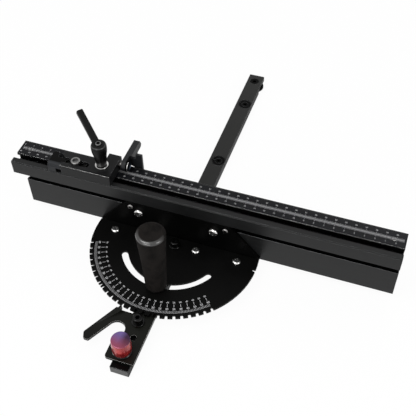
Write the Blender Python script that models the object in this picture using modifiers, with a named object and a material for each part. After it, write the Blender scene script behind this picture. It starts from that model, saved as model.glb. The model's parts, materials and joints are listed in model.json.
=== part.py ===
"""Half-round miter gauge with a ruler fence, a flip stop and an indexing lever.

Frame: the head turns about the Z axis. X runs along the fence, Y along the bar
towards the work, and Z = 0 is the underside of the bar.
"""
import math

import bmesh
import bpy
from mathutils import Matrix, Vector

MM = 0.001

# Fits
GAP = 0.3 * MM              # between pieces that touch
HOLE_CLEARANCE = 0.3 * MM   # round a shank, on the radius
OVERRUN = 1.0 * MM          # a cutter's reach past the face that it opens
FINE = 20                   # sides of a small round piece
COARSE = 14                 # sides of a screw
SMOOTH_ANGLE = 35.0         # degrees, sharper corners stay sharp

# Countersunk screws: head radius, shank radius, depth of the cone
DISC_SCREW = (3.8 * MM, 2.0 * MM, 2.2 * MM)
GUIDE_SCREW = (5.4 * MM, 2.5 * MM, 2.8 * MM)
RAIL_SCREW = (4.0 * MM, 2.0 * MM, 2.4 * MM)
RULER_SCREW = (1.9 * MM, 1.0 * MM, 0.9 * MM)
SUNK_RIM = 0.3 * MM         # straight rim above the cone
SUNK_DROP = 0.05 * MM       # head's face below the surface

# Socket screws: head radius, head height, shank radius
PIVOT_SCREW = (6.2 * MM, 3.6 * MM, 3.0 * MM)
PLATE_SCREW = (4.4 * MM, 2.4 * MM, 2.0 * MM)
BIG_SCREW = (4.9 * MM, 2.8 * MM, 2.0 * MM)
SMALL_SCREW = (2.9 * MM, 1.6 * MM, 1.5 * MM)
INDEX_SCREW = (4.75 * MM, 6.5 * MM, 2.5 * MM)
CURSOR_SCREW = (4.9 * MM, 3.0 * MM, 2.0 * MM)
CLAMP_SCREW = (3.1 * MM, 2.2 * MM, 1.5 * MM)

# The radius of the half-round plate, which the bar and the indexing lever follow
PLATE_RADIUS = 89.0 * MM

# Bar
BAR_WIDTH = 19.0 * MM
BAR_THICKNESS = 9.5 * MM
BAR_NEAR = PLATE_RADIUS + 60.0 * MM     # from the pivot to the end that is pulled
BAR_FAR = 301.0 * MM        # from the pivot to the end that leads
BAR_EDGE = 0.5 * MM
BLIND_FLOOR = 1.5 * MM      # left under the tapped holes

# Expansion discs, let into the bar's top and standing a little proud of its side
DISC_RADIUS = 8.1 * MM
DISC_THICKNESS = 4.0 * MM
DISC_PROUD = 0.3 * MM
DISC_SLIT = 1.0 * MM
DISC_PLACES = (138.0 * MM, 242.0 * MM)
DISC_EDGE = 0.3 * MM

# Guide washer under the leading end
GUIDE_RADIUS = 11.8 * MM
GUIDE_THICKNESS = 2.6 * MM
GUIDE_FROM_END = 12.6 * MM
GUIDE_CHAMFER = 0.4 * MM

# Bent bracket that joins the plate to the fence
BRACKET_THICKNESS = 3.2 * MM
BRACKET_FACE = 11.2 * MM    # the upright's near face
BRACKET_TOP_HALF = 55.5 * MM
FLANGE_REACH = 19.0 * MM
FLANGE_HALF = 84.0 * MM
BEND_RADIUS = 0.5 * MM       # inside the bend

# Half-round protractor plate
PLATE_THICKNESS = 2.6 * MM
SWING = 60.0                # degrees each way
SLOT_RADIUS = 52.5 * MM
NOTCH_PITCH = 5.0           # degrees
NOTCH_MIDDLE = -15.0        # the index tooth's bearing from the bar, in degrees
NOTCH_EXTRAS = (-22.5, 22.5)
NOTCH_MOUTH = 3.0 * MM
NOTCH_ROOT = 2.2 * MM
NOTCH_DEPTH = 3.2 * MM
PARK_NOTCH = 87.0           # a single notch near the plate's right corner
PLATE_SCREW_X = (-67.5 * MM, -23.0 * MM, 23.0 * MM, 67.5 * MM)

# Fence: a lower board and an upper rail, both extrusions along X
BOARD_LEFT = -174.4 * MM
FENCE_RIGHT = 225.6 * MM
RAIL_LEFT = -186.6 * MM
BOARD_BOTTOM = 11.0 * MM
BOARD_TOP = 54.4 * MM
FENCE_BACK = 44.9 * MM      # the working face
BOARD_WALL = 3.0 * MM
WEB_LOW = 35.0 * MM
BACK_SLOT_Z = 47.7 * MM
BACK_SLOT_MOUTH = 5.4 * MM
BACK_SLOT_CAVITY = 7.6 * MM
BACK_SLOT_LIP = 3.0 * MM
BACK_SLOT_DEPTH = 9.2 * MM
BOARD_CORNER = 2.0 * MM     # inside corners of the board's hollows
RAIL_TOP = 71.0 * MM
RAIL_FLOOR = 5.4 * MM
LEDGE = 6.6 * MM            # the rail's narrow top face, nearest the hand
TOP_SLOT_MOUTH = 7.0 * MM
TOP_SLOT_CAVITY = 13.4 * MM
TOP_SLOT_LIP = 3.0 * MM
RAIL_CORNER = 1.5 * MM      # inside corners of the rail's hollow
RAIL_EDGE = 1.0 * MM        # chamfer of the near lip
RAIL_BACK_EDGE = 0.5 * MM
RAIL_SCREW_BITE = 2.2 * MM  # depth into the board
RULER_THICKNESS = 0.8 * MM
RULER_WIDTH = 17.5 * MM
RULER_INSET = 12.0 * MM     # from the rail's end to the ruler's screw
RULER_SCREW_LENGTH = 3.0 * MM
RAIL_SCREW_X = (-140.0 * MM, 20.0 * MM, 190.0 * MM)

# Screws that fix the bracket to the board
BIG_SCREW_X = (12.5 * MM - BRACKET_TOP_HALF, BRACKET_TOP_HALF - 16.5 * MM)
BIG_SCREW_Z = 40.8 * MM
BIG_SCREW_GRIP = 10.0 * MM   # length in the board
SMALL_SCREW_X = BRACKET_TOP_HALF - 3.8 * MM

# Foam handle
HANDLE_BASE = 11.0 * MM     # radius
HANDLE_TOP = 14.3 * MM      # radius
HANDLE_LENGTH = 80.9 * MM
HANDLE_BORE = 7.0 * MM
HANDLE_ROUND = 3.0 * MM
STUD_RADIUS = 3.0 * MM
STUD_BORE_DEPTH = 45.0 * MM  # in the core
CORE_CAP = 6.0 * MM         # solid end of the core
STUD_SHORT = 4.0 * MM       # stud's end below the bore's
SPACER_RADIUS = 8.0 * MM
HANDLE_BELLY = 0.2 * MM     # how far the side draws in halfway up
HANDLE_DISH = 1.0 * MM
WASHER_THICKNESS = 1.5 * MM

# Indexing lever, its screw and its knob
LEVER_THICKNESS = 3.0 * MM
LEVER_PIVOT = (-1.4 * MM, -PLATE_RADIUS - 8.2 * MM)
LEVER_TRAVEL = 5.6          # degrees, from drawn back to home in a notch
TOOTH_TIP = 1.3 * MM
TOOTH_ROOT = 2.4 * MM
TOOTH_LENGTH = 2.4 * MM
TOOTH_OFFSET = 0.5 * MM    # sideways, taken up as the lever swings in
TOOTH_LAP = 1.0 * MM        # overlap with the lever's arm
TAIL_REACH = 11.2 * MM      # from the knob's axis to the lever's near edge
TAIL_LEFT = -17.6 * MM
LEVER_RIGHT = 12.2 * MM     # past the bar's side
TAIL_CORNER = 3.0 * MM
ARM_UNDER_RIM = 5.0 * MM    # how far the lever goes under the plate's rim
THUMB_CORNERS = ((-47.4 * MM, -PLATE_RADIUS - 34.4 * MM), (-44.4 * MM, -PLATE_RADIUS - 41.9 * MM),
                 (-39.2 * MM, -PLATE_RADIUS - 42.6 * MM))
THUMB_ROUND = 1.3 * MM
FINGER_GAP = (-18.9 * MM, -PLATE_RADIUS - 21.5 * MM, 8.7 * MM)   # centre and radius of the hollow
NECK = ((-8.4 * MM, 0.0), (-10.6 * MM, -5.6 * MM))   # from the middle of the lever's inner end
TAIL_SHOULDER = ((-10.4 * MM, -PLATE_RADIUS - 27.8 * MM), -PLATE_RADIUS - 36.2 * MM)
TOOTH_HEEL = 0.5 * MM
LEVER_HOLE = (1.0 * MM, -PLATE_RADIUS - 25.8 * MM)
LEVER_HOLE_RADIUS = 3.1 * MM
INDEX_WASHER_RADIUS = 6.4 * MM
KNOB_PLACE = (-3.4 * MM, -PLATE_RADIUS - 42.2 * MM)
KNOB_RADIUS = 9.6 * MM
KNOB_TOP = 9.3 * MM
KNOB_HEIGHT = 20.0 * MM
KNOB_STUD = 2.5 * MM
KNOB_CAP = 6.0 * MM         # solid end of the knob

# Flip stop that slides on the rail
BLOCK_LEFT = -127.0 * MM
BLOCK_EAR = 4.5 * MM        # beside the pointer, past the block's left end
EAR_FROM_GROOVE = 4.5 * MM  # from the groove's far side
BLOCK_RIGHT = -72.0 * MM
BLOCK_HEIGHT = 12.7 * MM
BLOCK_DEPTH = 20.8 * MM
BLOCK_END_DEPTH = 32.0 * MM
BLOCK_END_LENGTH = 13.5 * MM
GROOVE_WIDTH = 7.0 * MM
GROOVE_DEPTH = 4.0 * MM
GROOVE_LENGTH = 29.0 * MM
CURSOR_SCREW_X = -113.0 * MM
CURSOR_TRAVEL = 6.5 * MM    # outwards
CURSOR_SETBACK = 0.5 * MM   # from the rail's near face
CURSOR_TAIL = 2.4 * MM      # of the tongue past its slot
CURSOR_NOTCH = (6.3 * MM, 5.7 * MM)   # width and height under the near right corner
CURSOR_THICKNESS = 2.2 * MM
CURSOR_WIDTH = 15.0 * MM
CURSOR_BEND = 4.5 * MM      # radius over the rail's lip
CURSOR_SLOPE = 5.0 * MM
CURSOR_OVER_RULER = 3.0 * MM   # past the block's far side
KEY_INSET = 3.0 * MM        # key's ends from the block's ends
NUT_LEFT = 9.0 * MM         # from the pointer's screw
NUT_RIGHT = 30.0 * MM
BLOCK_SHOULDER = 5.0 * MM
BLOCK_SLOPE = 10.0 * MM
HUB_X = -85.8 * MM
HUB_SIDE = 13.6 * MM        # from the block's near face to the lever's axis
HUB_RADIUS = 8.0 * MM
HUB_FOOT = 6.9 * MM
HUB_HEIGHT = 28.6 * MM
ARM_REACH = 40.0 * MM
ARM_RISE = 19.0 * MM
ARM_BEARING = 140.5         # degrees from +X
ARM_WIDTH = 7.0 * MM
ARM_DEPTH = 6.0 * MM
CLAMP_STUD = 3.0 * MM
CLAMP_WASHER = 6.9 * MM     # radius
ARM_DROP = 5.5 * MM         # from the hub's top to the arm's root
HUB_CAP = 7.0 * MM          # solid top of the hub
HUB_RECESS = 1.5 * MM
HUB_RECESS_RADIUS = 3.6 * MM
CLAMP_SCREW_LENGTH = 6.5 * MM

# Flip arm on its hinge pin
PIN_Y = 37.0 * MM
PIN_Z = 78.5 * MM
PIN_RADIUS = 2.2 * MM
PIN_HEAD_RADIUS = 6.0 * MM
PIN_HEAD = 2.2 * MM
PIN_SHOWN = 3.7 * MM        # bare length between the block and the arm
PIN_SHORT = 4.0 * MM        # pin's end inside the block's end part
PIN_CHAMFER = 0.4 * MM
PIN_DISH = 0.5 * MM
ARM_HUB = 6.0 * MM          # radius of the flip arm's eye
FLIP_WIDTH = 6.5 * MM       # of the finger piece
EYE_WIDTH = 4.5 * MM
FINGER_ROOT = 9.0 * MM      # from the pin's axis
FINGER_TOP = 6.7 * MM       # above the pin's axis
# The arm's side from under the pin to the fingertip: behind and above the pin's axis
FINGER_SIDE = ((9.2 * MM, -6.0 * MM), (17.0 * MM, -8.5 * MM), (24.0 * MM, -2.2 * MM), (32.6 * MM, -1.8 * MM),
               (34.1 * MM, 1.4 * MM), (31.6 * MM, FINGER_TOP))
LEG_CLEARANCE = 1.0 * MM    # off the working face
LEG_WIDTH = 6.7 * MM
LEG_THICKNESS = 2.6 * MM
LEG_SIDE = 11.3 * MM        # from the eye's near side to the leg's near side
LEG_LOW = 40.0 * MM
LEG_HIGH = 88.2 * MM
LEG_NECK = 4.0 * MM         # slope of the bridge between the eye and the leg
BRIDGE_RISE = 2.0 * MM      # above the pin's axis

# Levels that follow
BAR_TOP = BAR_THICKNESS
FLANGE_LOW = BAR_TOP + GAP
FLANGE_HIGH = FLANGE_LOW + BRACKET_THICKNESS
PLATE_LOW = FLANGE_HIGH + GAP
PLATE_HIGH = PLATE_LOW + PLATE_THICKNESS
UPRIGHT_TOP = BOARD_TOP - GAP
PLATE_EDGE = BRACKET_FACE - BEND_RADIUS - GAP
BOARD_FACE = BRACKET_FACE + BRACKET_THICKNESS + GAP
RAIL_BOTTOM = BOARD_TOP + GAP
SLOT_NEAR = BRACKET_FACE + LEDGE
SLOT_FAR = SLOT_NEAR + TOP_SLOT_MOUTH
SLOT_MIDDLE = (SLOT_NEAR + SLOT_FAR) / 2
SLOT_FLOOR = RAIL_BOTTOM + RAIL_FLOOR
RULER_NEAR = SLOT_FAR + GAP
BLOCK_LOW = RAIL_TOP + GAP
BLOCK_HIGH = BLOCK_LOW + BLOCK_HEIGHT
GROOVE_Y = SLOT_NEAR + GAP + CURSOR_SCREW[2]
GROOVE_FLOOR = BLOCK_HIGH - GROOVE_DEPTH
TONGUE_TOP = GROOVE_FLOOR + GAP + CURSOR_THICKNESS
HUB_Y = BRACKET_FACE + HUB_SIDE
LEVER_LOW = BAR_TOP + GAP
LEVER_HIGH = LEVER_LOW + LEVER_THICKNESS

root_collection = None
cutter_collection = None


def start_scene():
    """Empty the file and make one collection for the parts and one for the cutters."""
    global root_collection, cutter_collection
    for old in list(bpy.data.objects):
        bpy.data.objects.remove(old, do_unlink=True)
    root_collection = bpy.data.collections.new("miter_gauge")
    cutter_collection = bpy.data.collections.new("cutters")
    bpy.context.scene.collection.children.link(root_collection)
    bpy.context.scene.collection.children.link(cutter_collection)


def make_material(name, colour, roughness, metallic):
    """A plain Principled material."""
    material = bpy.data.materials.new(name)
    material.use_nodes = True
    shader = material.node_tree.nodes["Principled BSDF"]
    shader.inputs["Base Color"].default_value = (*colour, 1.0)
    shader.inputs["Roughness"].default_value = roughness
    shader.inputs["Metallic"].default_value = metallic
    return material


def add_object(name, mesh, material):
    """Link a mesh as a named part."""
    part = bpy.data.objects.new(name, mesh)
    root_collection.objects.link(part)
    mesh.materials.clear()
    mesh.materials.append(material)
    return part


def as_cutter(part):
    """Turn an object into a hidden cutter."""
    for collection in list(part.users_collection):
        collection.objects.unlink(part)
    cutter_collection.objects.link(part)
    part.hide_render = True
    part.display_type = "WIRE"
    return part


def boolean(part, cutter, operation="DIFFERENCE"):
    """Cut or join with an exact Boolean; the cutter stays editable."""
    as_cutter(cutter)
    modifier = part.modifiers.new(operation.lower(), "BOOLEAN")
    modifier.operation = operation
    modifier.object = cutter
    modifier.solver = "EXACT"


def smooth(part):
    """Shade round faces smooth and keep the corners sharp."""
    part.data.shade_smooth()
    part.data.set_sharp_from_angle(angle=math.radians(SMOOTH_ANGLE))


def bevel(part, width):
    """Break the sharp edges by a small width."""
    modifier = part.modifiers.new("edges", "BEVEL")
    modifier.width = width
    modifier.segments = 1
    modifier.limit_method = "ANGLE"


def box(name, low, high, material):
    """A block between two corners, with its origin in its middle."""
    size = Vector(high) - Vector(low)
    work = bmesh.new()
    bmesh.ops.create_cube(work, size=1.0)
    bmesh.ops.scale(work, vec=size, verts=work.verts)
    mesh = bpy.data.meshes.new(name)
    work.to_mesh(mesh)
    work.free()
    part = add_object(name, mesh, material)
    part.location = (Vector(low) + Vector(high)) / 2
    return part


def cylinder(name, radius, depth, place, material, sides=FINE, axis="Z"):
    """A round bar centred on a place; six sides make a hex socket."""
    work = bmesh.new()
    bmesh.ops.create_cone(work, cap_ends=True, segments=sides, radius1=radius, radius2=radius, depth=depth)
    mesh = bpy.data.meshes.new(name)
    work.to_mesh(mesh)
    work.free()
    part = add_object(name, mesh, material)
    part.location = place
    if axis == "X":
        part.rotation_euler = (0, math.pi / 2, 0)
    if axis == "Y":
        part.rotation_euler = (math.pi / 2, 0, 0)
    smooth(part)
    return part


def circle(x, y, radius, sides=FINE):
    """Points round a circle."""
    turn = 2 * math.pi / sides
    return [(x + radius * math.cos(turn * i), y + radius * math.sin(turn * i)) for i in range(sides)]


def arc(x, y, radius, start, end, steps):
    """Points along an arc, angles in degrees."""
    points = []
    for i in range(steps + 1):
        angle = math.radians(start + (end - start) * i / steps)
        points.append((x + radius * math.cos(angle), y + radius * math.sin(angle)))
    return points


def rounded(points, radius, steps=4):
    """Round the corners of an outline with arcs of one radius."""
    result = []
    count = len(points)
    for i in range(count):
        here = Vector(points[i])
        back = Vector(points[i - 1]) - here
        ahead = Vector(points[(i + 1) % count]) - here
        half = back.angle(ahead) / 2
        reach = min(radius / math.tan(half), 0.45 * back.length, 0.45 * ahead.length)
        start = here + back.normalized() * reach
        end = here + ahead.normalized() * reach
        for j in range(steps + 1):
            t = j / steps
            point = (1 - t) ** 2 * start + 2 * t * (1 - t) * here + t ** 2 * end
            result.append((point.x, point.y))
    return result


def flat_outline(name, loops, low, high, material, axis="Z"):
    """Extrude closed outlines between two levels along an axis.

    For axis X the outline is drawn in Y and Z, and for axis Y in X and Z.
    """
    curve = bpy.data.curves.new(name, "CURVE")
    curve.dimensions = "2D"
    curve.fill_mode = "BOTH"
    curve.extrude = (high - low) / 2
    for loop in loops:
        spline = curve.splines.new("POLY")
        spline.points.add(len(loop) - 1)
        for point, (x, y) in zip(spline.points, loop):
            point.co = (x, y, 0, 1)
        spline.use_cyclic_u = True
    drawing = bpy.data.objects.new(name + "_drawing", curve)
    root_collection.objects.link(drawing)
    middle = (low + high) / 2
    if axis == "Z":
        drawing.matrix_world = Matrix.Translation((0, 0, middle))
    if axis == "X":
        columns = Matrix(((0, 0, 1, middle), (1, 0, 0, 0), (0, 1, 0, 0), (0, 0, 0, 1)))
        drawing.matrix_world = columns
    if axis == "Y":
        columns = Matrix(((1, 0, 0, 0), (0, 0, -1, middle), (0, 1, 0, 0), (0, 0, 0, 1)))
        drawing.matrix_world = columns
    bpy.context.view_layer.update()
    evaluated = drawing.evaluated_get(bpy.context.evaluated_depsgraph_get())
    mesh = bpy.data.meshes.new_from_object(evaluated)
    mesh.name = name
    work = bmesh.new()
    work.from_mesh(mesh)
    bmesh.ops.remove_doubles(work, verts=work.verts, dist=1e-6)
    bmesh.ops.recalc_face_normals(work, faces=work.faces)
    work.to_mesh(mesh)
    work.free()
    part = add_object(name, mesh, material)
    part.matrix_world = drawing.matrix_world.copy()
    bpy.data.objects.remove(drawing, do_unlink=True)
    bpy.data.curves.remove(curve)
    return part


def turned(name, profile, place, material, steps=FINE, closed=False, rotation=(0, 0, 0)):
    """Turn a profile of (radius, height) about its own Z axis, listed from the top down."""
    mesh = bpy.data.meshes.new(name)
    vertices = [(radius, 0, height) for radius, height in profile]
    edges = [(i, i + 1) for i in range(len(profile) - 1)]
    if closed:
        edges.append((len(profile) - 1, 0))
    mesh.from_pydata(vertices, edges, [])
    part = add_object(name, mesh, material)
    part.location = place
    part.rotation_euler = rotation
    screw = part.modifiers.new("turn", "SCREW")
    screw.axis = "Z"
    screw.angle = 2 * math.pi
    screw.steps = steps
    screw.render_steps = steps
    screw.use_merge_vertices = True
    screw.merge_threshold = 0.00001
    screw.use_smooth_shade = True
    return part


def ring(name, inner, outer, low, high, place, material, chamfer=0.0):
    """A washer or a plain bush between two levels."""
    profile = [(inner, high), (outer - chamfer, high), (outer, high - chamfer), (outer, low + chamfer),
               (outer - chamfer, low), (inner, low)]
    if chamfer == 0.0:
        profile = [(inner, high), (outer, high), (outer, low), (inner, low)]
    return turned(name, profile, (place[0], place[1], 0), material, closed=True)


def button_screw(name, place, sizes, length, material, rotation=(0, 0, 0), dome=0.55):
    """A socket screw: its seat is at the place, its head above it and its shank below."""
    head, height, shank = sizes
    socket = head * 0.5
    profile = [(0, height), (head * (1 - dome * 0.4), height), (head, height * (1 - dome)), (head, 0),
               (shank, 0), (shank, -length), (0, -length)]
    part = turned(name, profile, place, material, steps=COARSE, rotation=rotation)
    turn = Matrix.LocRotScale(Vector(place), None, None) @ part.rotation_euler.to_matrix().to_4x4()
    hex_cutter = cylinder(name + "_socket", socket, height, (0, 0, 0), material, sides=6)
    hex_cutter.matrix_world = turn @ Matrix.Translation((0, 0, height * 0.95))
    boolean(part, hex_cutter)
    return part


def sunk_screw(name, place, sizes, length, material):
    """A countersunk screw flush with the surface at its place."""
    head, shank, sink = sizes
    profile = [(0, -SUNK_DROP), (head, -SUNK_DROP), (head, -SUNK_RIM), (shank, -sink), (shank, -length),
               (0, -length)]
    part = turned(name, profile, place, material, steps=COARSE)
    hex_cutter = cylinder(name + "_socket", shank * 0.95, 0.7 * sink, place, material, sides=6)
    boolean(part, hex_cutter)
    return part


def sunk_hole(part, name, place, sizes, length, material):
    """The matching countersunk hole, larger by the gap all round."""
    head, shank, sink = sizes
    wide = head + GAP
    narrow = shank + GAP
    profile = [(0, OVERRUN), (wide, OVERRUN), (wide, -SUNK_RIM - GAP / 2), (narrow, -sink - GAP / 2),
               (narrow, -length - GAP), (0, -length - GAP)]
    cutter = turned(name, profile, place, material, steps=COARSE)
    boolean(part, cutter)


def bore(part, name, x, y, low, high, radius, material, axis="Z", sides=FINE):
    """A round hole between two levels along an axis."""
    middle = (low + high) / 2
    place = {"Z": (x, y, middle), "X": (middle, x, y), "Y": (x, middle, y)}[axis]
    cutter = cylinder(name, radius, high - low, place, material, sides=sides, axis=axis)
    boolean(part, cutter)


def hold(parts, name, place):
    """Parent moving parts to an empty on their joint's axis, where they stand."""
    empty = bpy.data.objects.new(name, None)
    empty.empty_display_size = 0.01
    empty.location = place
    root_collection.objects.link(empty)
    bpy.context.view_layer.update()
    for part in parts:
        world = part.matrix_world.copy()
        part.parent = empty
        part.matrix_parent_inverse = empty.matrix_world.inverted()
        part.matrix_world = world
    return empty


def polar(radius, bearing):
    """A point by its bearing from the near end of the bar, positive to the right."""
    angle = math.radians(bearing)
    return (radius * math.sin(angle), -radius * math.cos(angle))


def make_disc(name, place, low, material):
    """An expansion disc with its countersunk hole, before it is slit."""
    head, shank, sink = DISC_SCREW
    wide = head + GAP
    narrow = shank + GAP
    profile = [(wide, BAR_TOP), (DISC_RADIUS - DISC_EDGE, BAR_TOP), (DISC_RADIUS, BAR_TOP - DISC_EDGE),
               (DISC_RADIUS, low), (narrow, low), (narrow, BAR_TOP - sink - GAP / 2),
               (wide, BAR_TOP - SUNK_RIM - GAP / 2)]
    return turned(name, profile, (place[0], place[1], 0), material, closed=True)


def make_bar(black):
    """The bar, its expansion discs and the guide washer under its leading end."""
    half = BAR_WIDTH / 2
    bar = box("miter_bar", (-half, -BAR_NEAR, 0), (half, BAR_FAR, BAR_THICKNESS), black)
    bevel(bar, BAR_EDGE)
    disc_x = half + DISC_PROUD - DISC_RADIUS
    pocket_floor = BAR_TOP - DISC_THICKNESS - GAP
    pocket_reach = DISC_RADIUS + GAP
    for number, y in enumerate(DISC_PLACES, start=1):
        tag = str(number)
        bore(bar, "disc_pocket_" + tag, disc_x, y, pocket_floor, BAR_TOP + OVERRUN, pocket_reach, black,
             sides=36)
        bore(bar, "disc_tapping_" + tag, disc_x, y, BLIND_FLOOR, BAR_TOP, DISC_SCREW[1] + GAP, black)
        disc = make_disc("expansion_disc_" + tag, (disc_x, y), pocket_floor + GAP, black)
        reach = DISC_RADIUS + OVERRUN
        slit = box("disc_slit_" + tag, (disc_x - reach, y - DISC_SLIT / 2, 0),
                   (disc_x, y + DISC_SLIT / 2, BAR_TOP + OVERRUN), black)
        boolean(disc, slit)
        length = BAR_TOP - BLIND_FLOOR - GAP
        sunk_screw("expansion_screw_" + tag, (disc_x, y, BAR_TOP), DISC_SCREW, length, black)

    guide_y = BAR_FAR - GUIDE_FROM_END
    guide_step = box("guide_step", (-half - OVERRUN, guide_y - GUIDE_RADIUS - GAP, -OVERRUN),
                     (half + OVERRUN, BAR_FAR + OVERRUN, GUIDE_THICKNESS + 2 * GAP), black)
    boolean(bar, guide_step)
    ring("guide_washer", GUIDE_SCREW[1] + GAP, GUIDE_RADIUS, GAP, GAP + GUIDE_THICKNESS, (0, guide_y), black,
         chamfer=GUIDE_CHAMFER)
    length = BAR_TOP - GAP
    sunk_hole(bar, "guide_sink", (0, guide_y, BAR_TOP), GUIDE_SCREW, length, black)
    sunk_screw("guide_screw", (0, guide_y, BAR_TOP), GUIDE_SCREW, length - GAP, black)

    for name, place, radius in (("pivot_tapping", (0, 0), PIVOT_SCREW[2]),
                                ("stud_tapping", (0, -SLOT_RADIUS), STUD_RADIUS),
                                ("index_tapping", LEVER_PIVOT, INDEX_SCREW[2]),
                                ("knob_tapping", KNOB_PLACE, KNOB_STUD)):
        bore(bar, name, place[0], place[1], BLIND_FLOOR, BAR_TOP + OVERRUN, radius + HOLE_CLEARANCE, black)


def make_bracket(black):
    """The bent bracket: a flange under the plate and a trapezoid upright."""
    near = BRACKET_FACE + BRACKET_THICKNESS - FLANGE_REACH
    far = BRACKET_FACE + BRACKET_THICKNESS
    bend = [(near, FLANGE_LOW), (far - BEND_RADIUS - BRACKET_THICKNESS, FLANGE_LOW)]
    bend += arc(far - BEND_RADIUS - BRACKET_THICKNESS, FLANGE_LOW + BEND_RADIUS + BRACKET_THICKNESS,
                BEND_RADIUS + BRACKET_THICKNESS, -90, 0, 5)[1:]
    over = 2 * OVERRUN
    bend += [(far, UPRIGHT_TOP + over), (BRACKET_FACE, UPRIGHT_TOP + over)]
    bend += arc(BRACKET_FACE - BEND_RADIUS, FLANGE_HIGH + BEND_RADIUS, BEND_RADIUS, 0, -90, 3)
    bend += [(near, FLANGE_HIGH)]
    seam_half = math.sqrt(PLATE_RADIUS ** 2 - PLATE_EDGE ** 2)
    bracket = flat_outline("angle_bracket", [bend], -seam_half - over, seam_half + over, black, axis="X")
    smooth(bracket)
    corner = PLATE_HIGH
    outline = [(-FLANGE_HALF, 0), (FLANGE_HALF, 0), (FLANGE_HALF, PLATE_LOW), (seam_half, PLATE_LOW),
               (seam_half, corner), (BRACKET_TOP_HALF, UPRIGHT_TOP), (-BRACKET_TOP_HALF, UPRIGHT_TOP),
               (-seam_half, corner), (-seam_half, PLATE_LOW), (-FLANGE_HALF, PLATE_LOW)]
    trim = flat_outline("bracket_outline", [outline], near - OVERRUN, far + OVERRUN, black, axis="Y")
    boolean(bracket, trim, "INTERSECT")
    for number, x in enumerate(PLATE_SCREW_X, start=1):
        bore(bracket, "flange_hole_" + str(number), x, 0, 0, PLATE_HIGH, PLATE_SCREW[2] + HOLE_CLEARANCE,
             black)
    bore(bracket, "flange_pivot_hole", 0, 0, 0, PLATE_HIGH, PIVOT_SCREW[2] + HOLE_CLEARANCE, black)
    for word, big, small in zip(("left", "right"), BIG_SCREW_X, (-SMALL_SCREW_X, SMALL_SCREW_X)):
        bore(bracket, "upright_hole_" + word, big, BIG_SCREW_Z, near, far + OVERRUN,
             BIG_SCREW[2] + HOLE_CLEARANCE, black, axis="Y")
        bore(bracket, "adjust_hole_" + word, small, BACK_SLOT_Z, near, far + OVERRUN,
             SMALL_SCREW[2] + HOLE_CLEARANCE, black, axis="Y")
    return bracket


def plate_outline():
    """The rim with its index notches, closed by the straight edge along the fence."""
    corner = math.degrees(math.asin(PLATE_EDGE / PLATE_RADIUS))
    bearings = [NOTCH_MIDDLE + extra for extra in NOTCH_EXTRAS]
    steps = int(round(SWING / NOTCH_PITCH))
    bearings += [NOTCH_MIDDLE + NOTCH_PITCH * i for i in range(-steps, steps + 1)]
    bearings.append(PARK_NOTCH)
    mouth = math.degrees(math.asin(NOTCH_MOUTH / 2 / PLATE_RADIUS))
    root_radius = PLATE_RADIUS - NOTCH_DEPTH
    root = math.degrees(math.asin(NOTCH_ROOT / 2 / root_radius))
    points = []
    reached = -90 - corner
    for bearing in sorted(bearings) + [None]:
        end = 90 + corner if bearing is None else bearing - mouth
        pieces = max(1, int((end - reached) / 3.5))
        points += [polar(PLATE_RADIUS, reached + (end - reached) * i / pieces) for i in range(pieces + 1)]
        if bearing is not None:
            points += [polar(root_radius, bearing - root), polar(root_radius, bearing + root)]
            reached = bearing + mouth
    return points


def arc_slot(radius, half_width, sweep, steps=24):
    """A slot that follows a circle about the pivot, with round ends."""
    outer = [polar(radius + half_width, -sweep + 2 * sweep * i / steps) for i in range(steps + 1)]
    inner = [polar(radius - half_width, sweep - 2 * sweep * i / steps) for i in range(steps + 1)]
    points = list(outer)
    for bearing, start in ((sweep, outer[-1]), (-sweep, inner[-1])):
        centre = Vector(polar(radius, bearing))
        spoke = Vector(start) - centre
        side = 1
        for i in range(1, 6):
            turn = Matrix.Rotation(side * math.pi * i / 6, 2)
            point = centre + turn @ spoke
            points.append((point.x, point.y))
        if bearing > 0:
            points += inner
    return points


def make_plate(black):
    """The half-round protractor plate."""
    stud_hole = STUD_RADIUS + HOLE_CLEARANCE
    loops = [plate_outline(), arc_slot(SLOT_RADIUS, stud_hole, SWING + 0.3)]
    loops.append(circle(0, 0, PIVOT_SCREW[2] + HOLE_CLEARANCE))
    for x in PLATE_SCREW_X:
        loops.append(circle(x, 0, PLATE_SCREW[2] + HOLE_CLEARANCE, COARSE))
    return flat_outline("protractor_plate", loops, PLATE_LOW, PLATE_HIGH, black)


def make_head_screws(black, steel):
    """Pivot, plate screws, bracket screws and the two small adjusting screws."""
    seat = PLATE_HIGH + GAP
    button_screw("pivot_screw", (0, 0, seat), PIVOT_SCREW, seat - BLIND_FLOOR - GAP, black)
    screws = []
    for number, x in enumerate(PLATE_SCREW_X, start=1):
        screws.append(button_screw("plate_screw_" + str(number), (x, 0, seat), PLATE_SCREW, seat - FLANGE_LOW,
                                   steel))
    face = (math.pi / 2, 0, 0)
    near = BRACKET_FACE - GAP
    reach = BRACKET_THICKNESS + GAP
    for word, big, small in zip(("left", "right"), BIG_SCREW_X, (-SMALL_SCREW_X, SMALL_SCREW_X)):
        screws.append(button_screw("bracket_screw_" + word, (big, near, BIG_SCREW_Z), BIG_SCREW,
                                   reach + GAP + BIG_SCREW_GRIP, steel, rotation=face))
        screws.append(button_screw("adjusting_screw_" + word, (small, near, BACK_SLOT_Z), SMALL_SCREW,
                                   reach + BACK_SLOT_DEPTH, steel, rotation=face))
    return screws


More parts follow.
